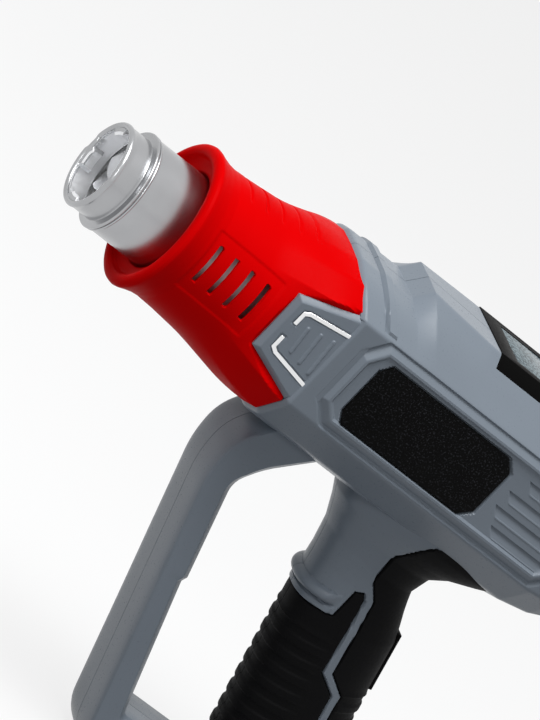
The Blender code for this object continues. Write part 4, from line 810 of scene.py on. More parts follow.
    def build(self) -> bpy.types.Object:
        """The body half: details raised along the normals, the arch leant forward, the bezel's seat open.

        Returns:
            The dressed piece.
        """
        base = self.surface()
        normal = outwards(base, base * (1.0, 0.0, 0.0))
        x, y, z = base[..., 0], np.abs(base[..., 1]), base[..., 2]
        on_side = step(np.abs(normal[..., 1]), *self.panel_facing) * (x > self.panel_start)
        rise = self.front_height(x, z) + on_side * self.panel_height(x, z)
        if self.side is Side.RIGHT:
            for site_x, site_z in self.screw_sites:
                beyond = self.screw_radius - np.hypot(x - site_x, z - site_z)
                rise = rise - self.screw_well * step(beyond, 0.0, 0.3)
        outer = base + normal * rise[..., None]
        inner = base - normal * self.wall
        at_seam = y < SEAM + 0.01
        past_root = inner[..., 1] * self.side.value < SEAM_ROOT
        inner[..., 1] = np.where(past_root | at_seam, SEAM_ROOT * self.side.value, inner[..., 1])
        outer[..., 1] = np.where(at_seam, SEAM * self.side.value, outer[..., 1])
        forward = self.lean * np.clip(z - self.lean_foot, 0.0, self.lean_height)
        forward = forward * (1.0 - step(x, *self.upright))
        for points in (outer, inner):
            points[..., 0] -= forward
        middle_x, middle_y, middle_z = np.moveaxis(quad_middles(base), -1, 0)
        open_top = (middle_x > self.bezel_seat[0]) & (middle_x < self.bezel_seat[1])
        open_top &= (np.abs(middle_y) < self.bezel_half) & (middle_z > self.bezel_foot)
        piece = shell(f"body_{self.side.word}", outer, inner, 24.0, ~open_top)
        return dress(piece, CASING_NYLON, nodes=[f"casing_{self.side.word}"])


PAD_ENDS = (75.0, 97.0)  # mm behind the mouth: between these the pad widens, and behind them it is parallel
PAD_HIGHS = (15.0, 23.1)  # its upper edge at both
PAD_LOWS = (-9.0, -16.6)  # its lower edge at both
PAD_BACK = 106.0
PAD_OUTLINE = (
    (PAD_ENDS[0], PAD_LOWS[0]), (PAD_ENDS[0], PAD_HIGHS[0]), (PAD_ENDS[1], PAD_HIGHS[1]),
    (PAD_BACK, PAD_HIGHS[1]), (PAD_BACK, PAD_LOWS[1]), (PAD_ENDS[1], PAD_LOWS[1]),
)


@dataclass
class SidePad:
    """The raised pad ahead of the body, with ribs and the seats of two bright strips."""

    side: Side
    end: float = 106.2
    spacing: float = 0.3
    columns: int = 110
    thickness: float = 3.4
    ribs: tuple = (((85.0, 8.0), (86.2, -2.0)), ((90.0, 9.0), (91.2, -3.0)), ((95.0, 10.0), (96.2, -4.0)))
    rib_height: float = 0.45
    rib_edge: Pair = (0.35, 0.8)  # distance from a rib's line over which it falls away
    chamfer: float = 1.9
    chamfer_fall: float = 1.7
    strip_line: Outline = ((80.3, 6.2), (80.3, 11.2), (82.2, 12.4), (98.5, 15.2))
    strip_half: float = 1.05
    strip_way: Pair = (-0.6, 0.8)  # direction across the strip, between those of its two legs
    strip_mirror: float = 3.4
    seat_depth: float = 0.5
    tail: Pair = (103.5, 106.0)
    tail_fall: float = 0.25

    def strip_outline(self, upper: bool) -> list[Pair]:
        """Outline of a strip's seat: its bent line moved to both sides, and for the lower strip mirrored.

        Args:
            upper: Whether it is the upper strip's seat.

        Returns:
            Corners (x, z) in order.
        """
        foot_x, foot_z = self.strip_line[0]
        way_x, way_z = self.strip_way
        banks = []
        for reach in (self.strip_half, -self.strip_half):
            bank = [(x + reach * way_x, z + reach * way_z) for x, z in self.strip_line]
            bank[0] = (foot_x - reach, foot_z - 0.3)
            banks.append(bank)
        sign = 1.0 if upper else -1.0
        return [(x, self.strip_mirror + sign * (z - self.strip_mirror)) for x, z in banks[0] + banks[1][::-1]]

    def build(self) -> bpy.types.Object:
        """A grid between the pad's slanting upper and lower edges, its rim falling away as a chamfer.

        Returns:
            The dressed piece.
        """
        x = spaced((PAD_ENDS[0], self.end, self.spacing))
        high = np.interp(x, PAD_ENDS, PAD_HIGHS)[:, None]
        low = np.interp(x, PAD_ENDS, PAD_LOWS)[:, None]
        share = np.linspace(0.0, 1.0, self.columns)
        z = low * (1 - share) + high * share
        along = np.broadcast_to(x[:, None], z.shape)
        edge = np.minimum(np.minimum(high - z, z - low) * 0.94, along - PAD_ENDS[0])
        rise = -self.chamfer_fall * np.clip(1.0 - edge / self.chamfer, 0.0, 1.0) ** 1.2
        for (ax, az), (bx, bz) in self.ribs:
            up = np.clip((z - bz) / (az - bz), 0.0, 1.0)
            near = np.hypot(along - (bx + (ax - bx) * up), z - (bz + (az - bz) * up))
            rise = rise + self.rib_height * (1.0 - step(near, *self.rib_edge))
        for upper in (True, False):
            seat = inside_distance(along, z, self.strip_outline(upper))
            rise = rise - self.seat_depth * step(seat, -0.35, 0.0)
        rise = rise - self.tail_fall * step(along, *self.tail)
        face = BODY.side_face(along)
        outer, inner = (
            np.stack((along, self.side.value * (face + lift), z), axis=-1) for lift in (rise, -self.thickness)
        )
        return dress(shell(f"pad_{self.side.word}", outer, inner, 24.0), CASING_NYLON)


# Handle


FRONT_RUBBER = (
    (140.0, -84.4), (179.5, -73.2), (179.5, -61.2), (183.2, -59.2), (185.5, -62.0), (193.0, -92.0),
    (202.5, -97.0), (216.9, -146.5), (140.0, -146.5),
)
REAR_RUBBER = (
    (290.0, -21.5), (290.0, -146.5), (218.8, -146.5), (205.1, -95.7), (195.6, -90.5), (187.9, -60.5),
    (182.0, -54.5), (179.5, -41.5), (183.0, -32.0), (190.0, -21.5),
)


@dataclass
class Handle:
    """One half of the grip: the grey core with its bead and collar, and the two ribbed rubbers on it."""

    side: Side
    lean: float = 0.29  # mm back for each mm down
    heights: tuple = (24.0, 30.0, 34.0, 38.0, 43.0, 51.0, 60.0, 67.0, 75.0, 145.0, 160.0, 173.0)
    depths: tuple = (41.5, 39.0, 34.3, 28.9, 24.0, 21.0, 21.5, 22.4, 23.3, 23.3, 25.0, 25.5)
    widths: tuple = (27.0, 25.5, 23.5, 21.0, 18.2, 16.2, 16.4, 17.0, 17.6, 17.6, 18.7, 19.0)
    neck: tuple = (191.5, 190.0, 185.6, 181.4, 179.8, 181.2, 184.7, 187.2, 190.0)  # the middle's x
    turning: tuple = (55.0, 78.0, 140.0, 162.0)  # depths between which the sections turn square and back
    roundness: float = 0.86  # power of the flattened circle's sine and cosine
    columns: int = 150
    core_runs: tuple = ((24.0, 56.0, 0.7), (56.0, 100.0, 0.38), (100.0, 150.0, 0.5), (150.0, 173.0, 1.0))
    core_wall: float = 4.9
    core_foot: Pair = (0.8, 1.2)  # how far the foot draws in, and from what height
    front: float = 178.5
    front_middle: float = 178.0  # where heights square to the grip equal plain heights
    bead: float = -67.9
    bead_half: float = 2.5
    bead_height: float = 2.7
    collar: Pair = (-75.0, -71.4)
    collar_height: float = 0.7
    collar_groove: Pair = (-70.9, -70.1)
    collar_groove_depth: float = 0.3
    rubber_runs: tuple = ((25.0, 60.0, 0.6), (60.0, 147.6, 0.36))
    rubber_depth: float = 2.2
    rubber_wall: float = 4.4
    rubber_dip: float = 2.5
    rubber_overlap: float = 9.0  # how far the rubber runs up inside the body
    rib_pitch: float = 7.0
    rib_height: float = 0.65
    rib_dip: float = 0.1
    rib_middle: float = 200.0
    rib_starts: Pair = (78.0, 97.0)
    rib_end: float = 143.0
    switch: Pair = (213.0, -84.0)
    switch_half: Pair = (7.9, 13.2)
    switch_back: Pair = (192.6, -75.0)
    switch_depth: float = 2.4
    switch_core_share: float = 0.6

    def surface(self, level: np.ndarray, turn: np.ndarray) -> np.ndarray:
        """A flattened circle whose centre leans back on the way down and whose plane turns square to it.

        Args:
            level: Heights over the axis, one for each row.
            turn: Angles round the section, from the back over the side to the front.

        Returns:
            Array of shape (row, column, 3).
        """
        down = -level[:, None]
        straight = self.heights[len(self.neck) - 1]
        centre = np.interp(down, self.heights[: len(self.neck)], self.neck)
        centre = centre + self.lean * np.maximum(down - straight, 0.0)
        tilt = np.interp(down, self.turning, (0.0, 1.0, 1.0, 0.0))
        depth = np.interp(down, self.heights, self.depths)
        depth = depth * (1.0 - tilt * (1.0 - 1.0 / (1.0 + self.lean**2)))
        c, s = np.cos(turn), np.sin(turn)
        along = np.sign(c) * np.abs(c) ** self.roundness * depth
        across = np.abs(s) ** self.roundness * np.interp(down, self.heights, self.widths)
        across = np.maximum(across, SEAM) * self.side.value
        return np.stack((centre + along, across, level[:, None] + tilt * self.lean * along), axis=-1)

    def turns(self) -> np.ndarray:
        """Angles from the back to the front of the half section."""
        return np.linspace(0.004, math.pi - 0.004, self.columns)

    def ribs(self, base: np.ndarray, turn: np.ndarray, front: bool) -> np.ndarray:
        """Narrow ribs across the grip: each rises slowly on its upper side and falls off below its crest.

        Args:
            base: The plain surface.
            turn: Angles round the section.
            front: Whether these are the front rubber's ribs.

        Returns:
            Heights in millimetres.
        """
        down = -(base[..., 2] - self.lean * (base[..., 0] - self.rib_middle))
        start = self.rib_starts[0] if front else self.rib_starts[1]
        along = ((down - start) / self.rib_pitch) % 1.0
        wave = step(along, 0.38, 0.52) * (1.0 - step(along, 0.88, 1.0))
        reach = bump_between(down, start, self.rib_end, 3.0)
        fade = step(np.cos(turn) * (-1.0 if front else 1.0), -0.05, 0.35)
        return (self.rib_height * wave - self.rib_dip) * reach * fade

    def switch_room(self, base: np.ndarray) -> np.ndarray:
        """How far the surface sinks round the switch's flange: a box on the back, square to the grip.

        Args:
            base: The plain surface.

        Returns:
            Depths in millimetres.
        """
        place_x, place_z = self.switch
        back_x, back_z = self.switch_back
        along = (base[..., 2] - place_z) - self.lean * (base[..., 0] - place_x)
        behind = base[..., 0] > back_x - (base[..., 2] - back_z) * self.lean
        half_width, half_length = self.switch_half
        room = (np.abs(base[..., 1]) < half_width) & (np.abs(along) < half_length) & behind
        return np.where(room, self.switch_depth, 0.0)

    def walls(
        self, base: np.ndarray, normal: np.ndarray, rise: np.ndarray, wall: float
    ) -> tuple[np.ndarray, np.ndarray]:
        """Outside raised along the normals and inside set back by the wall, both ending at the seam.

        Args:
            base: The plain surface.
            normal: Its unit normals.
            rise: How far the outside is raised.
            wall: How far the inside is set back.

        Returns:
            The outer and the inner grid.
        """
        outer = base + normal * rise[..., None]
        inner = base - normal * wall
        for points, gap in ((outer, SEAM), (inner, SEAM_ROOT)):
            points[..., 1] = np.maximum(np.abs(points[..., 1]), gap) * self.side.value
            points[:, [0, -1], 1] = gap * self.side.value
            points[..., 2] = np.maximum(points[..., 2], -AXIS_HEIGHT)
        return outer, inner

    def core(self) -> bpy.types.Object:
        """The grey core: sunk under the rubbers, with a bead across the front and a collar below it.

        Returns:
            The dressed piece.
        """
        turn = self.turns()
        base = self.surface(-spaced(*self.core_runs), turn)
        normal = outwards(base, (base[:, :1] + base[:, -1:]) / 2)
        x, z = base[..., 0], base[..., 2]
        ahead = self.front - x
        square = z - self.lean * (x - self.front_middle)
        bead = np.sqrt(np.clip(1.0 - ((square - self.bead) / self.bead_half) ** 2, 0.0, 1.0))
        bead = bead * self.bead_height * step(ahead, 0.0, 5.0)
        collar = self.collar_height * bump_between(square, *self.collar, 0.4)
        collar = collar - self.collar_groove_depth * bump_between(square, *self.collar_groove, 0.3)
        rise = (bead + collar * step(ahead, 0.0, 1.0)) * step(-np.cos(turn), 0.02, 0.2)
        for outline in (FRONT_RUBBER, REAR_RUBBER):
            rise = rise - self.rubber_depth * step(inside_distance(x, z, outline), 0.0, 0.7)
        draw, height = self.core_foot
        rise = rise - draw * step(-z, AXIS_HEIGHT - height, AXIS_HEIGHT)
        rise = rise - self.switch_core_share * self.switch_room(base)
        outer, inner = self.walls(base, normal, rise, self.core_wall)
        return dress(shell(f"handle_{self.side.word}", outer, inner, 30.0), CASING_NYLON)

    def rubber(self, front: bool) -> bpy.types.Object:
        """One rubber: full height inside its outline, and dipping under the core's edge outside it.

        Args:
            front: Whether this is the front rubber.

        Returns:
            The dressed piece.
        """
        turn = self.turns()
        base = self.surface(-spaced(*self.rubber_runs), turn)
        normal = outwards(base, (base[:, :1] + base[:, -1:]) / 2)
        inside = inside_distance(base[..., 0], base[..., 2], FRONT_RUBBER if front else REAR_RUBBER)
        rise = self.rubber_dip * (step(inside, -0.1, 0.9) - 1.0) + self.ribs(base, turn, front)
        if not front:
            rise = rise - self.switch_room(base)
        outer, inner = self.walls(base, normal, rise, self.rubber_wall)
        clear = base[..., 2] < BODY.underside(base[..., 0]) + self.rubber_overlap
        keep = (quad_middles(inside) > -0.8) & clear[1:, 1:]
        word = "front" if front else "rear"
        piece = shell(f"rubber_{word}_{self.side.word}", outer, inner, 45.0, keep)
        return dress(piece, GRIP_RUBBER, nodes=[f"grip_{word}_{self.side.word}"])

    def build(self) -> None:
        """The core and both rubbers."""
        self.core()
        for front in (True, False):
            self.rubber(front)


@dataclass
class Guard:
    """One half of the closed hand guard: a crowned bar from the body's nose down and along the base."""

    side: Side
    half_width: float = 16.0
    chamfer: float = 3.0
    outer: Outline = (
        (116.0, -26.0), (103.5, -44.0), (104.5, -60.0), (117.5, -95.66), (118.3, -97.85), (145.7, -173.0),
        (207.0, -173.0),
    )
    outer_cuts: tuple = (8.0, 7.0, 0.5, 0.5, 13.0)
    inner: Outline = (
        (138.0, -29.0), (121.5, -47.0), (116.0, -57.0), (129.5, -95.0), (128.7, -97.2), (149.3, -149.5),
        (207.0, -149.5),
    )
    inner_cuts: tuple = (4.5, 4.5, 0.3, 0.3, 2.0)
    run_points: tuple = (14, 10, 24, 3, 36, 24)
    crown: Outline = (  # depth below the outer path, distance to the side
        (0.0, SEAM), (0.02, 4.0), (0.08, 8.0), (0.22, 11.5), (0.45, 14.0), (0.75, 15.2), (1.3, 15.8),
    )

    def profile(self, span: np.ndarray) -> tuple[np.ndarray, list[float]]:
        """The bar's half profile: crown, side, chamfer, inside, and back along the middle plane.

        Args:
            span: Distances from the outer to the inner path, one for each station.

        Returns:
            Depths below the outer path, of shape (station, point), and the points' distances to the side.
        """
        wide, cut = self.half_width, self.chamfer
        ahead = (*self.crown, (2.2, wide))
        back = (
            (cut + 0.3, wide), (cut * 0.92, wide - 0.12), (0.25, wide - cut + 0.2), (0.0, wide - cut - 0.4),
            (0.0, 6.0), (0.0, SEAM),
        )
        middle = (0.9, 0.6, 0.4, 0.1)
        depths = [np.full_like(span, depth) for depth, _ in ahead] + [span - rest for rest, _ in back]
        depths += [span * share for share in middle]
        return np.stack(depths, axis=1), [reach for _, reach in ahead + back] + [SEAM_ROOT] * len(middle)

    def build(self) -> bpy.types.Object:
        """The half profile carried between matched outer and inner paths.

        Returns:
            The dressed piece.
        """
        shares = [np.linspace(0.0, 1.0, count) for count in self.run_points]
        outer = rounded_path(np.array([self.outer]), self.outer_cuts, shares, 8)[0]
        inner = rounded_path(np.array([self.inner]), self.inner_cuts, shares, 8)[0]
        span = np.linalg.norm(inner - outer, axis=-1)
        depth, reach = self.profile(span)
        share = (depth / span[:, None])[..., None]
        line = outer[:, None] * (1 - share) + inner[:, None] * share
        across = np.array(reach) * self.side.value
        height = np.maximum(line[..., 1], -AXIS_HEIGHT)
        points = np.stack(np.broadcast_arrays(line[..., 0], across, height), axis=-1)
        return dress(tube(f"guard_{self.side.word}", points, 28.0), CASING_NYLON)


# Shroud and nozzle


@dataclass
class Shroud:
    """The red heat shroud: rolled lip, waist, flare to the body's octagon, side slots and top grooves."""

    runs: tuple = (
        (30.0, 34.6, 0.15), (34.6, 36.0, 0.4), (36.0, 40.0, 0.8), (40.0, 70.0, 0.4), (70.0, 96.7, 0.6),
    )
    profile: Outline = (
        (30.0, 27.1), (30.2, 28.0), (30.6, 28.7), (31.2, 29.3), (32.2, 29.6), (33.2, 29.4), (35.2, 28.7),
        (38.5, 27.8), (42.0, 27.4), (50.0, 27.8), (60.0, 28.7), (70.0, 29.8), (80.0, 31.0), (96.7, 32.9),
    )
    mouth: Outline = (
        (30.0, 26.3), (30.2, 25.7), (30.8, 25.1), (31.7, 24.8), (32.7, 24.2), (33.3, 23.2), (33.6, 22.0),
        (33.9, 20.3), (34.6, 20.0), (39.2, 19.7),
    )
    wall: float = 1.9
    flare: Pair = (62.0, 96.0)  # where the circle turns into the octagon
    body_inset: float = 1.0
    pad_inset: float = 2.7
    side_cosine: float = 0.6  # of the angle, above which a place is on the side
    slots: tuple = (44.5, 51.7, 59.0, 66.2)
    slot_half: float = 1.1
    slot_ends: Pair = (-6.0, 10.2)
    slot_corner: float = 0.75
    recess_x: Pair = (41.0, 69.8)
    recess_z: Pair = (-10.0, 13.6)
    recess_depth: float = 0.35
    grooves: tuple = (47.4, 54.5, 61.4, 68.6, 75.4)
    groove_half: float = 0.35
    groove_depth: float = 0.5
    groove_ends: Pair = (66.0, 70.0)  # degrees from the side over which the grooves set in

    def stations(self) -> np.ndarray:
        """Distances behind the mouth: the runs' and the slots' edges, none closer together than 0.02 mm."""
        edges = [slot + way * self.slot_half for slot in self.slots for way in (-1, 1)]
        x = np.unique(np.round(np.concatenate((spaced(*self.runs), edges)), 3))
        return x[np.concatenate(([True], np.diff(x) > 0.02))]

    def angles(self) -> np.ndarray:
        """Angles round the axis, closer together on both sides where the slots are."""
        half = np.radians(np.concatenate((np.arange(-34.0, 34.0, 0.8), np.arange(34.0, 146.0, 2.0))))
        return np.concatenate((half, half + math.pi))

    def body_reach(self, angle: np.ndarray) -> np.ndarray:
        """Distance from the axis to just inside the body's front section: the least over the sides it faces.

        Args:
            angle: Directions round the axis.

        Returns:
            Distances in millimetres.
        """
        corners = BODY.section(np.array(BODY.ends[:1]))[0]
        ring = np.vstack((corners, corners[::-1] * (-1.0, 1.0)))
        run_y, run_z = (np.roll(ring, -1, axis=0) - ring).T
        size = np.hypot(run_y, run_z)
        real = size > TINY
        normal = np.stack((run_z, -run_y), axis=-1)[real] / size[real, None]
        gap = np.sum(normal * ring[real], axis=-1, keepdims=True)
        normal = np.where(gap < 0, -normal, normal)
        facing = normal @ np.stack((np.cos(angle), np.sin(angle)))
        least = 0.05
        reach = (np.abs(gap) - self.body_inset) / np.maximum(facing, least)
        return np.where(facing > least, reach, FAR).min(axis=0)

    def openings(self, x: np.ndarray, z: np.ndarray) -> np.ndarray:
        """Which places lie in a slot, an upright box with rounded ends.

        Args:
            x: Distances behind the mouth.
            z: Heights over the axis.

        Returns:
            True where the slot is open.
        """
        low, high = self.slot_ends
        rise = np.abs(z - (high + low) / 2) - (high - low) / 2 + 0.7
        opened = np.zeros(z.shape, dtype=bool)
        for slot in self.slots:
            beside = np.abs(x - slot)
            corner = np.hypot(np.maximum(beside - 0.4, 0.0), np.maximum(rise, 0.0))
            opened |= (corner < self.slot_corner) & (beside < self.slot_half)
        return opened

    def build(self) -> bpy.types.Object:
        """Radius blended from a circle to the octagon, less the recess and grooves, with the slots left open.

        Returns:
            The dressed piece.
        """
        x, angle = self.stations()[:, None], self.angles()
        cosine, sine = np.abs(np.cos(angle)), np.sin(angle)
        mix = step(x, *self.flare)
        radius = np.interp(x, *zip(*self.profile)) * (1 - mix) + self.body_reach(angle) * mix
        z = radius * sine
        on_side = cosine > self.side_cosine
        beyond = np.maximum(0.0, -0.1 - inside_distance(np.broadcast_to(x, z.shape), z, PAD_OUTLINE))
        room = (BODY.side_face(x) - self.pad_inset + beyond) / np.maximum(cosine, self.side_cosine)
        radius = np.where(on_side, np.minimum(radius, room), radius)
        recess = bump_between(x, *self.recess_x, 0.9) * bump_between(z, *self.recess_z, 0.9) * on_side
        half = self.groove_half
        lines = sum(bump_between(x, groove - half, groove + half, half) for groove in self.grooves)
        lines = lines * step(sine, *np.sin(np.radians(self.groove_ends)))
        behind_mouth = np.clip((x - self.mouth[-1][0]) / 1.3, 0.0, 1.0)
        bore = np.interp(x, *zip(*self.mouth)) * (1 - behind_mouth) + (radius - self.wall) * behind_mouth
        outer = around_axis(x, radius - self.recess_depth * recess - self.groove_depth * lines, angle)
        middle_z = (z[1:] + z[:-1]) / 2
        middle_z = (middle_z + np.roll(middle_z, -1, axis=1)) / 2
        keep = ~(self.openings((x[1:] + x[:-1]) / 2, middle_z) & on_side)
        piece = shell("heat_shroud", outer, around_axis(x, bore, angle), 26.0, keep, closed=True)
        return dress(piece, SHROUD_NYLON, nodes=["nozzle_shroud"])


@dataclass
class Nozzle:
    """The steel tube with its rolled lip, pressed lugs and bead, and the curved blades in its mouth."""

    tip: float = 17.0
    tube: float = 19.3
    sheet: float = 0.5
    length: float = 99.0
    columns: int = 240
    rings: tuple = ((12.05, 0.5, 0.45), (10.75, 0.6, 0.6))  # the bead's: middle, half width, height
    lip_half: Pair = (1.25, 1.15)
    lugs: tuple = (60.0, 165.0, 261.0, 346.0)  # degrees from the right side upwards
    lug_run: Pair = (1.4, 6.2)
    lug_depth: float = 2.4
    dents: tuple = (4.0,)
    dent_depth: float = 1.1
    covered: float = 40.0  # from here back the shroud covers it
    blades: int = 9
    blade_root: float = 1.5
    blade_length: float = 14.6
    blade_front: float = 9.9
    blade_depth: float = 5.4
    blade_sheet: float = 0.45
    blade_sweep: float = 0.75  # radians from root to tip
    blade_overlap: float = 1.25  # of the pitch, from front to back
    blade_spread: float = 1.9
    hub: Outline = ((15.6, 1.8), (9.6, 1.8), (9.0, 1.4), (8.8, 0.9), (8.8, 0.05), (15.6, 0.05))

    def outline(self) -> tuple[np.ndarray, np.ndarray, np.ndarray]:
        """The sheet's closed profile: from the rear over the bead's rings to the rolled lip, and back inside.

        Returns:
            Distances behind the mouth, radii, and the points' numbers counted from the first one inside.
        """
        t, r, within = self.tip, self.tube, self.tube - self.sheet
        outside = [(self.length, r), (60.0, r), (self.covered, r), (13.4, r), (12.7, r)]
        arc = np.radians(np.arange(0, 181, 15))
        for middle, half, rise in self.rings:
            outside += zip(middle + half * np.cos(arc), r + 0.04 + rise * np.sin(arc))
        outside += [(10.1, r - 0.4), (10.0, t + 0.5), (9.9, t + 0.1), (9.6, t), (9.0, t)]
        outside += [(x, t) for x in np.arange(8.0, 2.9, -0.6)]
        arc = np.radians(np.arange(50, 301, 18))
        half, rise = self.lip_half
        outside += zip(half + half * np.cos(arc), t - 0.75 + rise * np.sin(arc))
        inside = [(x, t - self.sheet) for x in (*np.arange(2.8, 9.0, 0.45), 9.8)]
        inside += [(11.4, within - 0.2), (12.6, within), (60.0, within), (self.length, within)]
        x, radius = np.array(outside + inside).T
        return x, radius, np.arange(len(x)) - len(outside)

    def turn_to(self, places: Sequence[float]) -> np.ndarray:
        """Least angle in degrees between each column of points and any of the places."""
        angle = np.linspace(0.0, 360.0, self.columns, endpoint=False)
        return np.abs((angle - np.array(places)[:, None] + 180.0) % 360.0 - 180.0).min(axis=0)

    def tube_piece(self) -> bpy.types.Object:
        """The profile turned round the axis, with lugs pressed into its inside and one dent in its rim.

        Returns:
            The dressed piece: rougher where it is inside or under the shroud, and painted paler there as
                painted light.
        """
        x, radius, number = self.outline()
        lug = (1.0 - step(np.radians(self.turn_to(self.lugs)) * self.tip, 3.9, 4.5)) * (number >= -3)[:, None]
        dent = (1.0 - step(self.turn_to(self.dents), 6.0, 13.0)) * (1.0 - step(x, 2.0, 5.0))[:, None]
        lug = lug * bump_between(x, *self.lug_run, 0.5)[:, None]
        radius = radius[:, None] - self.lug_depth * lug - self.dent_depth * dent
        piece = dress(revolved("nozzle_sheet", x, radius, 30.0), DRAWN_STEEL, nodes=["nozzle_tube"])
        piece.data.materials.append(PAINTED_LIGHT_STEEL.material())
        # painted light: the steel inside the mouth and under the shroud gets the paler steel, standing in for
        # light on steel that lies in shade
        painted_lighter = (number >= -2) | (x > self.covered)
        piece.data.polygons.foreach_set("material_index", np.repeat(painted_lighter.astype(np.int32), self.columns))
        return piece

    def diffuser(self) -> None:
        """Curved blades that overlap, their angle growing with radius and depth, and the hub they sit on."""
        radius = np.append(self.blade_root, np.linspace(2.2, self.tip - 0.9, 22))[:, None]
        depth = np.linspace(0.0, 1.0, 9)
        out = (radius - self.blade_root) / self.blade_length
        pitch = 2 * math.pi / self.blades
        angle = self.blade_sweep * out**1.3 + depth * self.blade_overlap * pitch
        angle = angle + np.arange(self.blades)[:, None, None] * pitch
        wide = radius + self.blade_spread * step(depth, 0.1, 0.5) * out**4
        x = self.blade_front + self.blade_depth * depth
        faces = (around_axis(x + shift, wide, angle) for shift in (0.0, self.blade_sheet))
        outer, inner = (face.reshape(-1, len(depth), 3) for face in faces)
        keep = np.ones((len(outer) - 1, len(depth) - 1), dtype=bool)
        keep[len(radius) - 1 :: len(radius)] = False
        blades = shell("mouth_vanes", outer, inner, 40.0, keep)
        hub_x, hub_radius = np.array(self.hub).T
        hub = revolved("mouth_hub", hub_x, np.repeat(hub_radius[:, None], 40, axis=1), 30.0)
        # painted light: the hub and blades get the paler steel, which stands in for light in the shaded mouth
        dress(hub, PAINTED_LIGHT_STEEL)
        dress(blades, PAINTED_LIGHT_STEEL, nodes=["nozzle_diffuser"])

    def build(self) -> None:
        """The tube and its blades."""
        self.tube_piece()
        self.diffuser()


# Small pieces that keep their solid's shape


@dataclass(frozen=True)
class SoftEdged:
    """A piece that keeps its CAD node's shape and gets moulded or rolled edges."""

    node: str
    finish: Finish
    slot: str
    edge_mm: float
    body: str = "housing"

    def build(self) -> bpy.types.Object:
        """A merged copy of the node, its flat faces joined and its sharp edges bevelled.

        Returns:
            The dressed piece.
        """
        source = frame["nodes"][self.node]
        merged = bmesh.new()
        merged.from_mesh(source.data)
        bmesh.ops.transform(merged, matrix=source.matrix_world, verts=merged.verts)
        bmesh.ops.remove_doubles(merged, verts=merged.verts, dist=2e-6)
        flat = math.radians(1.0)
        bmesh.ops.dissolve_limit(merged, angle_limit=flat, verts=merged.verts, edges=merged.edges)
        bmesh.ops.recalc_face_normals(merged, faces=merged.faces)
        mesh = bpy.data.meshes.new(f"{self.node}_soft")
        merged.to_mesh(mesh)
        merged.free()
        mesh.shade_smooth()
        piece = placed(mesh.name, mesh)
        bevel = piece.modifiers.new("moulded edges", "BEVEL")
        bevel.width = self.edge_mm / MM
        bevel.segments = 2
        bevel.limit_method = "ANGLE"
        bevel.angle_limit = math.radians(35.0)
        bevel.harden_normals = True
        return dress(piece, self.finish, self.body, [self.node])


def soft_edged_pieces() -> list[SoftEdged]:
    """The nodes that keep their shape, with their finishes and the size of their edges.

    Returns:
        One entry for each node.
    """
    listed = [
        SoftEdged("control_bezel", BLACK_MOULDING, "black", 0.5),
        SoftEdged("display_window", DISPLAY_ACRYLIC, "glass", 0.2),
        SoftEdged("button_up", GRIP_RUBBER, "rubber", 0.15, "up_button"),
        SoftEdged("button_down", GRIP_RUBBER, "rubber", 0.15, "down_button"),
        SoftEdged("rear_cap", CASING_NYLON, "casing", 0.4),
        SoftEdged("switch_body", BLACK_MOULDING, "black", 0.3),
        SoftEdged("switch_rocker", SHROUD_NYLON, "shroud", 0.25, "rocker"),
        SoftEdged("cord_inlet", GRIP_RUBBER, "rubber", 0.3),
    ]
    for side in Side:
        listed.append(SoftEdged(f"label_plate_{side.word}", PLATE_FILM, "black", 0.2))
        for row in ("upper", "lower"):
            listed.append(SoftEdged(f"inlay_{row}_{side.word}", CHROME_STRIP, "chrome", 0.3))
    screws = sorted(name for name in frame["nodes"] if name.startswith("casing_screw_"))
    return listed + [SoftEdged(name, ZINC_PLATE, "steel", 0.2) for name in screws]


def dress_inner_nodes() -> None:
    """Gives every CAD node the finish of its slot in the record."""
    slots = {part["node"]: part["material_slot"] for part in frame["record"]["subparts"]}
    for name, node in frame["nodes"].items():
        for spot in node.material_slots:
            spot.material = SLOT_FINISHES[slots[name]].material()


# Studio


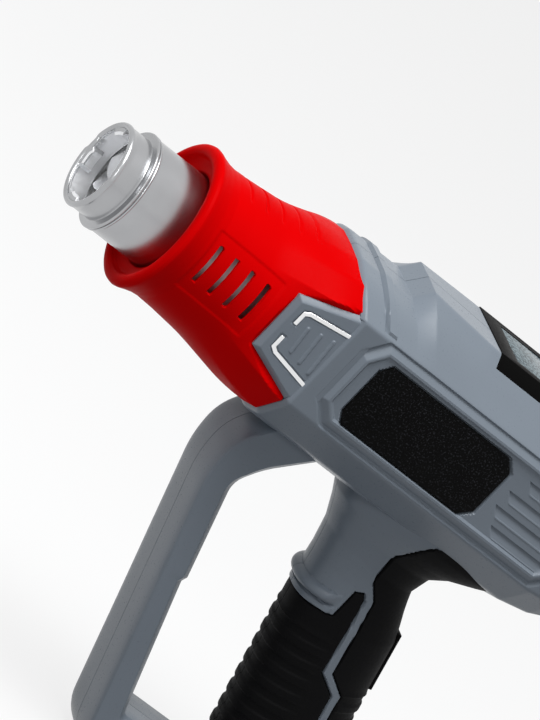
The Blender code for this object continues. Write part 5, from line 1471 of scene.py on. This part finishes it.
@dataclass
class Studio:
    """Pale floor, white surroundings, soft lamps and the camera, whose angles were fitted to the picture."""

    floor_colour: str = "#f4f5f6"
    floor_bounce: str = "#8f9092"
    floor_radius: float = 7.0
    floor_corners: int = 96
    white_share: float = 0.8
    ambient: float = 0.17
    lamps: tuple = (  # name, place in metres, side in metres, watts
        ("key", (-0.65, -0.5, 2.0), 1.3, 49.0),
        ("fill", (-1.2, -1.5, 0.9), 0.3, 4.5),
    )
    aim: tuple[float, float, float] = (0.0, 0.0, 0.12)
    azimuth: float = -26.5
    elevation: float = 12.6
    roll: float = 44.0
    lens: float = 300.0
    distance: float = 2047.8
    offset: Pair = (59.11, -67.30)

    def seen(self, tree: bpy.types.NodeTree) -> bpy.types.NodeSocket:
        """1 for camera, glossy and transmission rays, which meet white surroundings, and 0 for the others.

        Args:
            tree: The world's or the floor's nodes.

        Returns:
            The socket of the greatest of the three.
        """
        ray = add_node(tree, "ShaderNodeLightPath", {}, {})
        socket = ray.outputs["Is Camera Ray"]
        for kind in ("Is Glossy Ray", "Is Transmission Ray"):
            inputs = {0: socket, 1: ray.outputs[kind]}
            socket = add_node(tree, "ShaderNodeMath", {"operation": "MAXIMUM"}, inputs).outputs[0]
        return socket

    def world(self) -> None:
        """White for the camera and for reflections, and a plain grey level for the soft light."""
        world = bpy.data.worlds.new("surroundings")
        bpy.context.scene.world = world
        world.use_nodes = True
        tree = world.node_tree
        levels = {"To Min": self.ambient, "To Max": 1.0}
        level = add_node(tree, "ShaderNodeMapRange", levels, {"Value": self.seen(tree)})
        background = tree.nodes["Background"]
        background.inputs["Color"].default_value = (1.0, 1.0, 1.0, 1.0)
        tree.links.new(level.outputs[0], background.inputs["Strength"])

    def floor(self) -> None:
        """A round floor under the base, pale where it is seen and greyer where it only throws light back."""
        turn = np.linspace(0.0, 2 * math.pi, self.floor_corners, endpoint=False)
        edge = np.stack((np.cos(turn), np.sin(turn), np.zeros_like(turn)), axis=-1) * self.floor_radius
        mesh = bpy.data.meshes.new("floor")
        mesh.from_pydata(edge, [], [list(range(self.floor_corners))])
        material = bpy.data.materials.new("Pale studio floor")
        material.use_nodes = True
        tree = material.node_tree
        seen = self.seen(tree)
        colours = {"data_type": "RGBA", 6: linear(self.floor_bounce), 7: linear(self.floor_colour)}
        mixed = add_node(tree, "ShaderNodeMix", colours, {0: seen})
        shader = tree.nodes["Principled BSDF"]
        tree.links.new(mixed.outputs[2], shader.inputs["Base Color"])
        shader.inputs["Roughness"].default_value = 0.9
        shader.inputs["Specular IOR Level"].default_value = 0.1
        glow = add_node(tree, "ShaderNodeEmission", {"Color": (1.0, 1.0, 1.0, 1.0), "Strength": 1.0}, {})
        share = add_node(tree, "ShaderNodeMath", {"operation": "MULTIPLY", 1: self.white_share}, {0: seen})
        layers = {0: share.outputs[0], 1: shader.outputs[0], 2: glow.outputs[0]}
        both = add_node(tree, "ShaderNodeMixShader", {}, layers)
        tree.links.new(both.outputs[0], tree.nodes["Material Output"].inputs["Surface"])
        mesh.materials.append(material)
        placed("floor", mesh)

    def lamp(self, name: str, spot: Sequence[float], size: float, watts: float) -> None:
        """A square lamp that faces the tool.

        Args:
            name: The lamp's name.
            spot: Where it stands, in metres.
            size: Its side in metres.
            watts: Its power.
        """
        light = bpy.data.lights.new(name, "AREA")
        light.size = size
        light.energy = watts
        lamp = placed(name, light)
        lamp.location = spot
        lamp.rotation_euler = (Vector(self.aim) - Vector(spot)).to_track_quat("-Z", "Y").to_euler()

    def camera(self) -> None:
        """The camera from the fitted angles: it looks against its back vector, turned by the roll."""
        a, e, roll = (math.radians(v) for v in (self.azimuth, self.elevation, self.roll))
        back = Vector((math.sin(a) * math.cos(e), -math.cos(a) * math.cos(e), math.sin(e)))
        level = Vector((0.0, 0.0, 1.0)).cross(back).normalized()
        upright = back.cross(level)
        right = math.cos(roll) * level + math.sin(roll) * upright
        up = -math.sin(roll) * level + math.cos(roll) * upright
        target = right * self.offset[0] + up * self.offset[1]
        place = (target + back * self.distance + Vector((-HALF_LENGTH, 0.0, AXIS_HEIGHT))) / MM
        data = bpy.data.cameras.new("camera")
        data.lens = self.lens
        data.sensor_fit = "VERTICAL"
        data.sensor_height = 36.0
        data.clip_start = 0.1
        data.clip_end = 50.0
        camera = placed("camera", data)
        camera.matrix_world = Matrix.Translation(place) @ Matrix((right, up, back)).transposed().to_4x4()
        bpy.context.scene.camera = camera

    def build(self) -> None:
        """Everything round the tool."""
        self.world()
        self.floor()
        for lamp in self.lamps:
            self.lamp(*lamp)
        self.camera()
        bpy.context.scene.view_settings.view_transform = "Standard"


def main() -> None:
    """Builds and dresses the tool, then the studio."""
    logging.basicConfig(level=logging.INFO, format="%(message)s")
    dress_inner_nodes()
    for side in Side:
        for part in (CasingBody, SidePad, Handle, Guard):
            part(side).build()
    Shroud().build()
    Nozzle().build()
    for piece in soft_edged_pieces():
        piece.build()
    Studio().build()


if __name__ == "__main__":
    main()
